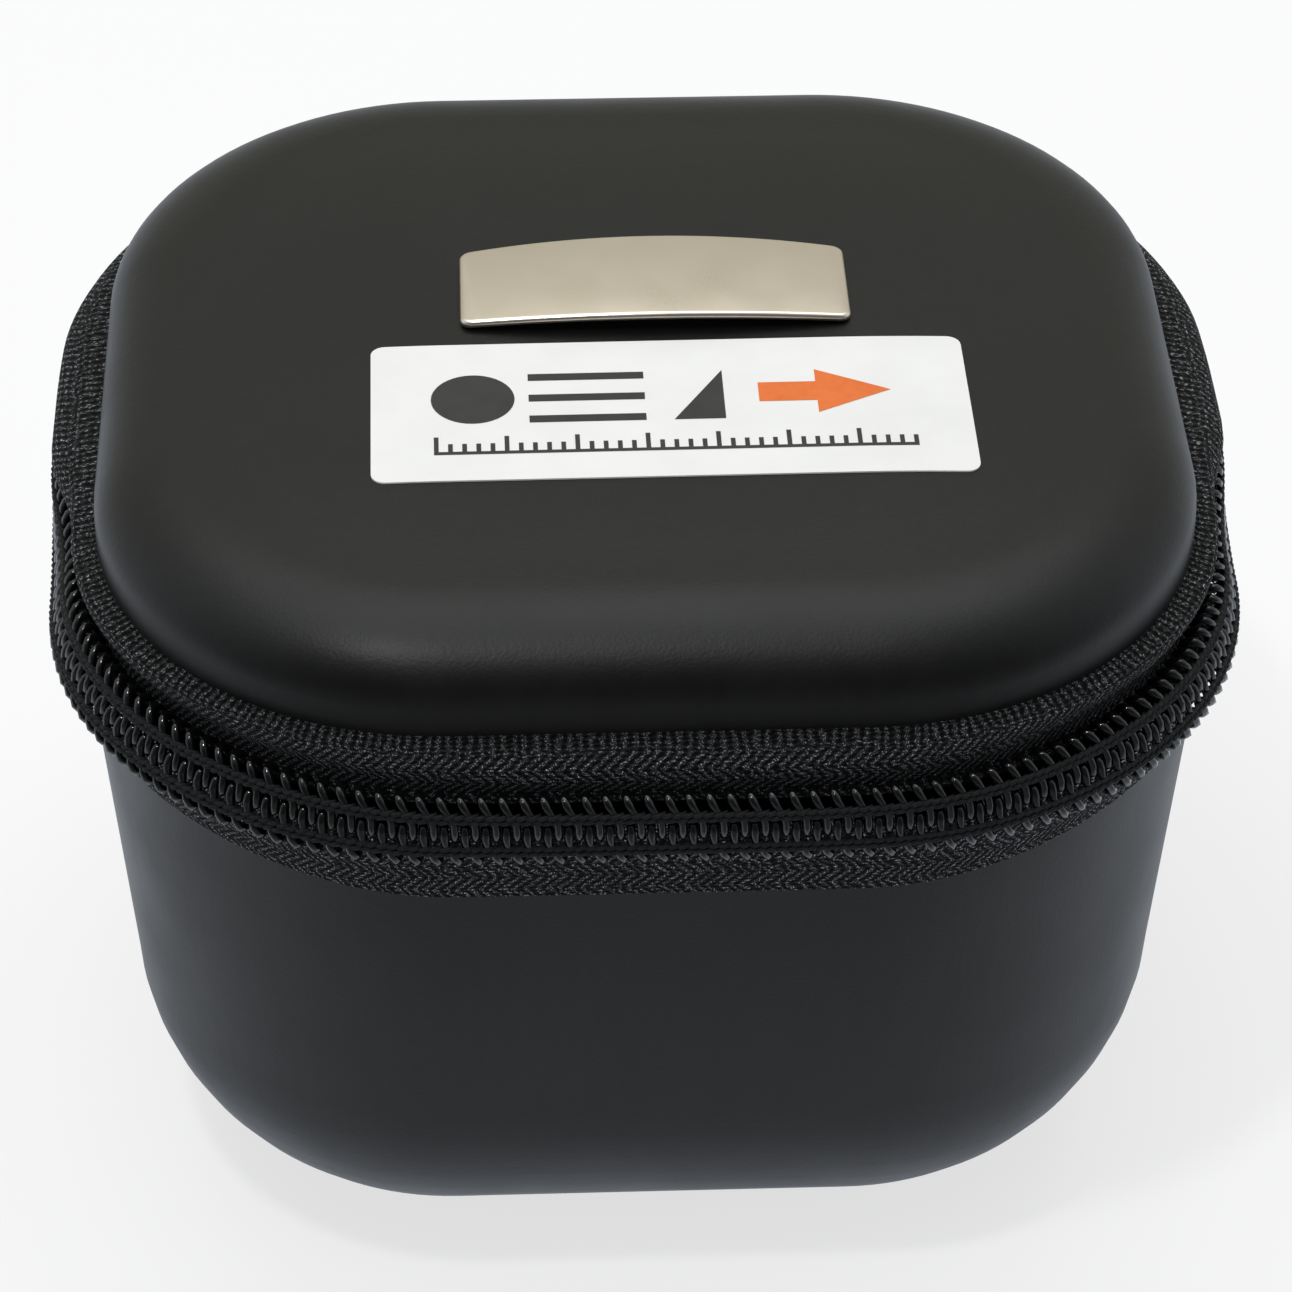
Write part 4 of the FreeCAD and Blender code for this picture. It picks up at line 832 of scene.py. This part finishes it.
# Finishes by node, with the width in millimetres of the edges that are broken
EDGED = {
    "cleaver_body": (CASTING, 0.25), "bottom_plate": (CASTING, 0.15), "cover_arm": (ARM, 0.3),
    "blade_carriage": (BLACK_SLIDE, 0.2), "carriage_knob": (BLUE, 0.15), "thumb_grip": (RUBBER, 0.2),
    "foot_pad": (RUBBER, 0.2), "lower_pads": (RUBBER, 0.12), "upper_pads": (RUBBER, 0.12),
    "lower_clamps": (STEEL, 0.12), "upper_clamps": (STEEL, 0.12), "guide_plate": (STEEL, 0.1),
    "guide_flap": (CASTING, 0.12), "scrap_bin": (SMOKED, 0.12), "bin_lid": (SMOKED, 0.15),
    "anvil": (ANVIL, 0.1), "zip_slider": (ENAMEL, 0.25), "pull_tab": (ENAMEL, 0.2),
}
AS_MADE = {
    "arm_pin": STEEL, "guide_pin": STEEL, "bin_pin": STEEL, "carriage_rails": STEEL, "bottom_screws": STEEL,
    "blade_screw": STEEL, "blade_wheel": CARBIDE, "feed_roller": RUBBER, "slider_bail": ENAMEL,
}


def tool_and_fittings():
    """Rigid pieces: broken edges where a maker would break them, and every finish."""
    record = frame["record"]
    bodies = {node: body for body, nodes in record["behaviour"]["bodies"].items() for node in nodes}
    for node, (finish, edge) in EDGED.items():
        piece = copied(f"{node}_finished", node)
        modified(piece, "BEVEL", width=edge * MM, segments=2, limit_method="ANGLE",
                 angle_limit=math.radians(35), use_clamp_overlap=True)
        fitted(piece, finish, bodies[node], [node], smooth=35)
    for node, finish in AS_MADE.items():
        for slot in frame["nodes"][node].material_slots:
            slot.material = finish


case_skins()
tapes()
coil_zip()
badge()
label()
foam_layers()
tool_and_fittings()


# Stage, light and camera

def seen(tree):
    """Two values for a ray: 1 where it is a reflection, and 1 where it shows the stage at all."""
    rays = add(tree, "LightPath").node.outputs
    other = add(tree, "Math", [rays["Is Glossy Ray"], rays["Is Transmission Ray"]], operation="MAXIMUM")
    return rays["Is Glossy Ray"], add(tree, "Math", [rays["Is Camera Ray"], other], operation="MAXIMUM")


def table():
    """A plain pale floor that glows of itself to stay near white, for the camera and in reflections."""
    floor = begun("floor", bpy.ops.mesh.primitive_plane_add, size=FLOOR_SIDE)
    made, tree, shader = surface("pale floor", "fbfbfb", 0.9)
    mirrored, shown = seen(tree)
    # Reflections of the table fade away from the object towards the viewer
    spot = add(tree, "SeparateXYZ", [add(tree, "TexCoord").node.outputs["Object"]]).node.outputs
    ahead = add(tree, "MapRange", [spot["Y"], -0.13, -0.07, 0.06, 1.15])
    lit = add(tree, "Mix", [mirrored, 1.0, ahead], data_type="FLOAT")
    tint = add(tree, "Mix", [mirrored, "ffffff", "eaf3ff"], data_type="RGBA")
    share = add(tree, "Math", [shown, FLOOR_GLOW], operation="MULTIPLY")
    both = add(tree, "MixShader", [share, shader.outputs["BSDF"], add(tree, "Emission", [tint, lit])])
    tree.links.new(both, tree.nodes["Material Output"].inputs["Surface"])
    floor.data.materials.append(made)


def room():
    """A white surround for the camera, dimmer as a light and where it is mirrored."""
    world = bpy.data.worlds.new("studio")
    bpy.context.scene.world = world
    world.use_nodes = True
    tree = world.node_tree
    mirrored, shown = seen(tree)
    # Behind the viewer the room is dim, so surfaces that face it carry no pale reflection
    way = add(tree, "SeparateXYZ", [add(tree, "TexCoord").node.outputs["Generated"]]).node.outputs
    near = add(tree, "MapRange", [way["Y"], -0.7, 0.12, 0.1, 1.0])
    far = add(tree, "MapRange", [way["Y"], 0.25, 0.7, 0.0, 0.42])
    dim = add(tree, "Math", [near, far], operation="SUBTRACT")
    straight = add(tree, "Mix", [mirrored, 1.0, dim], data_type="FLOAT")
    warmth = add(tree, "MapRange", [way["Y"], 0.2, 0.7, 0.0, 1.0])
    background = tree.nodes["Background"].inputs
    tree.links.new(add(tree, "Mix", [warmth, "f4f8ff", "fffff0"], data_type="RGBA"), background["Color"])
    strength = add(tree, "Mix", [shown, ROOM_LIGHT, straight], data_type="FLOAT")
    tree.links.new(strength, background["Strength"])


def softbox(name, spot, target, size, power):
    """A rectangular soft light aimed at a point."""
    lamp = bpy.data.lights.new(name, "AREA")
    lamp.shape = "RECTANGLE"
    lamp.size, lamp.size_y = size
    lamp.energy = power
    holder = bpy.data.objects.new(name, lamp)
    holder.location = spot
    holder.rotation_euler = (Vector(target) - Vector(spot)).to_track_quat("-Z", "Y").to_euler()
    bpy.context.scene.collection.objects.link(holder)


def camera():
    """The photograph's viewpoint."""
    back = Vector((math.sin(CAMERA_YAW) * math.cos(CAMERA_ELEVATION),
                   -math.cos(CAMERA_YAW) * math.cos(CAMERA_ELEVATION), math.sin(CAMERA_ELEVATION)))
    right = (-back).cross(Vector((0, 0, 1))).normalized()
    up = right.cross(-back)
    right, up = (math.cos(CAMERA_ROLL) * right + math.sin(CAMERA_ROLL) * up,
                 math.cos(CAMERA_ROLL) * up - math.sin(CAMERA_ROLL) * right)
    lens = bpy.data.cameras.new("camera")
    lens.sensor_width = SENSOR
    lens.lens = SENSOR * FOCAL_PIXELS / FRAME_SIDE
    lens.clip_start = 0.01
    view = bpy.data.objects.new("camera", lens)
    view.matrix_world = Matrix.Translation(CAMERA_TARGET + back * CAMERA_DISTANCE) @ Matrix(
        (right, up, back)).transposed().to_4x4()
    bpy.context.scene.collection.objects.link(view)
    bpy.context.scene.camera = view


table()
room()
softbox("overhead", (0.0, 0.22, 0.75), (0, 0, 0.05), (0.8, 0.5), 2.5)
softbox("key", (-0.14, -0.22, 0.7), (0, 0, 0.05), (0.06, 0.06), 1.3)
camera()
bpy.context.scene.view_settings.view_transform = "Standard"
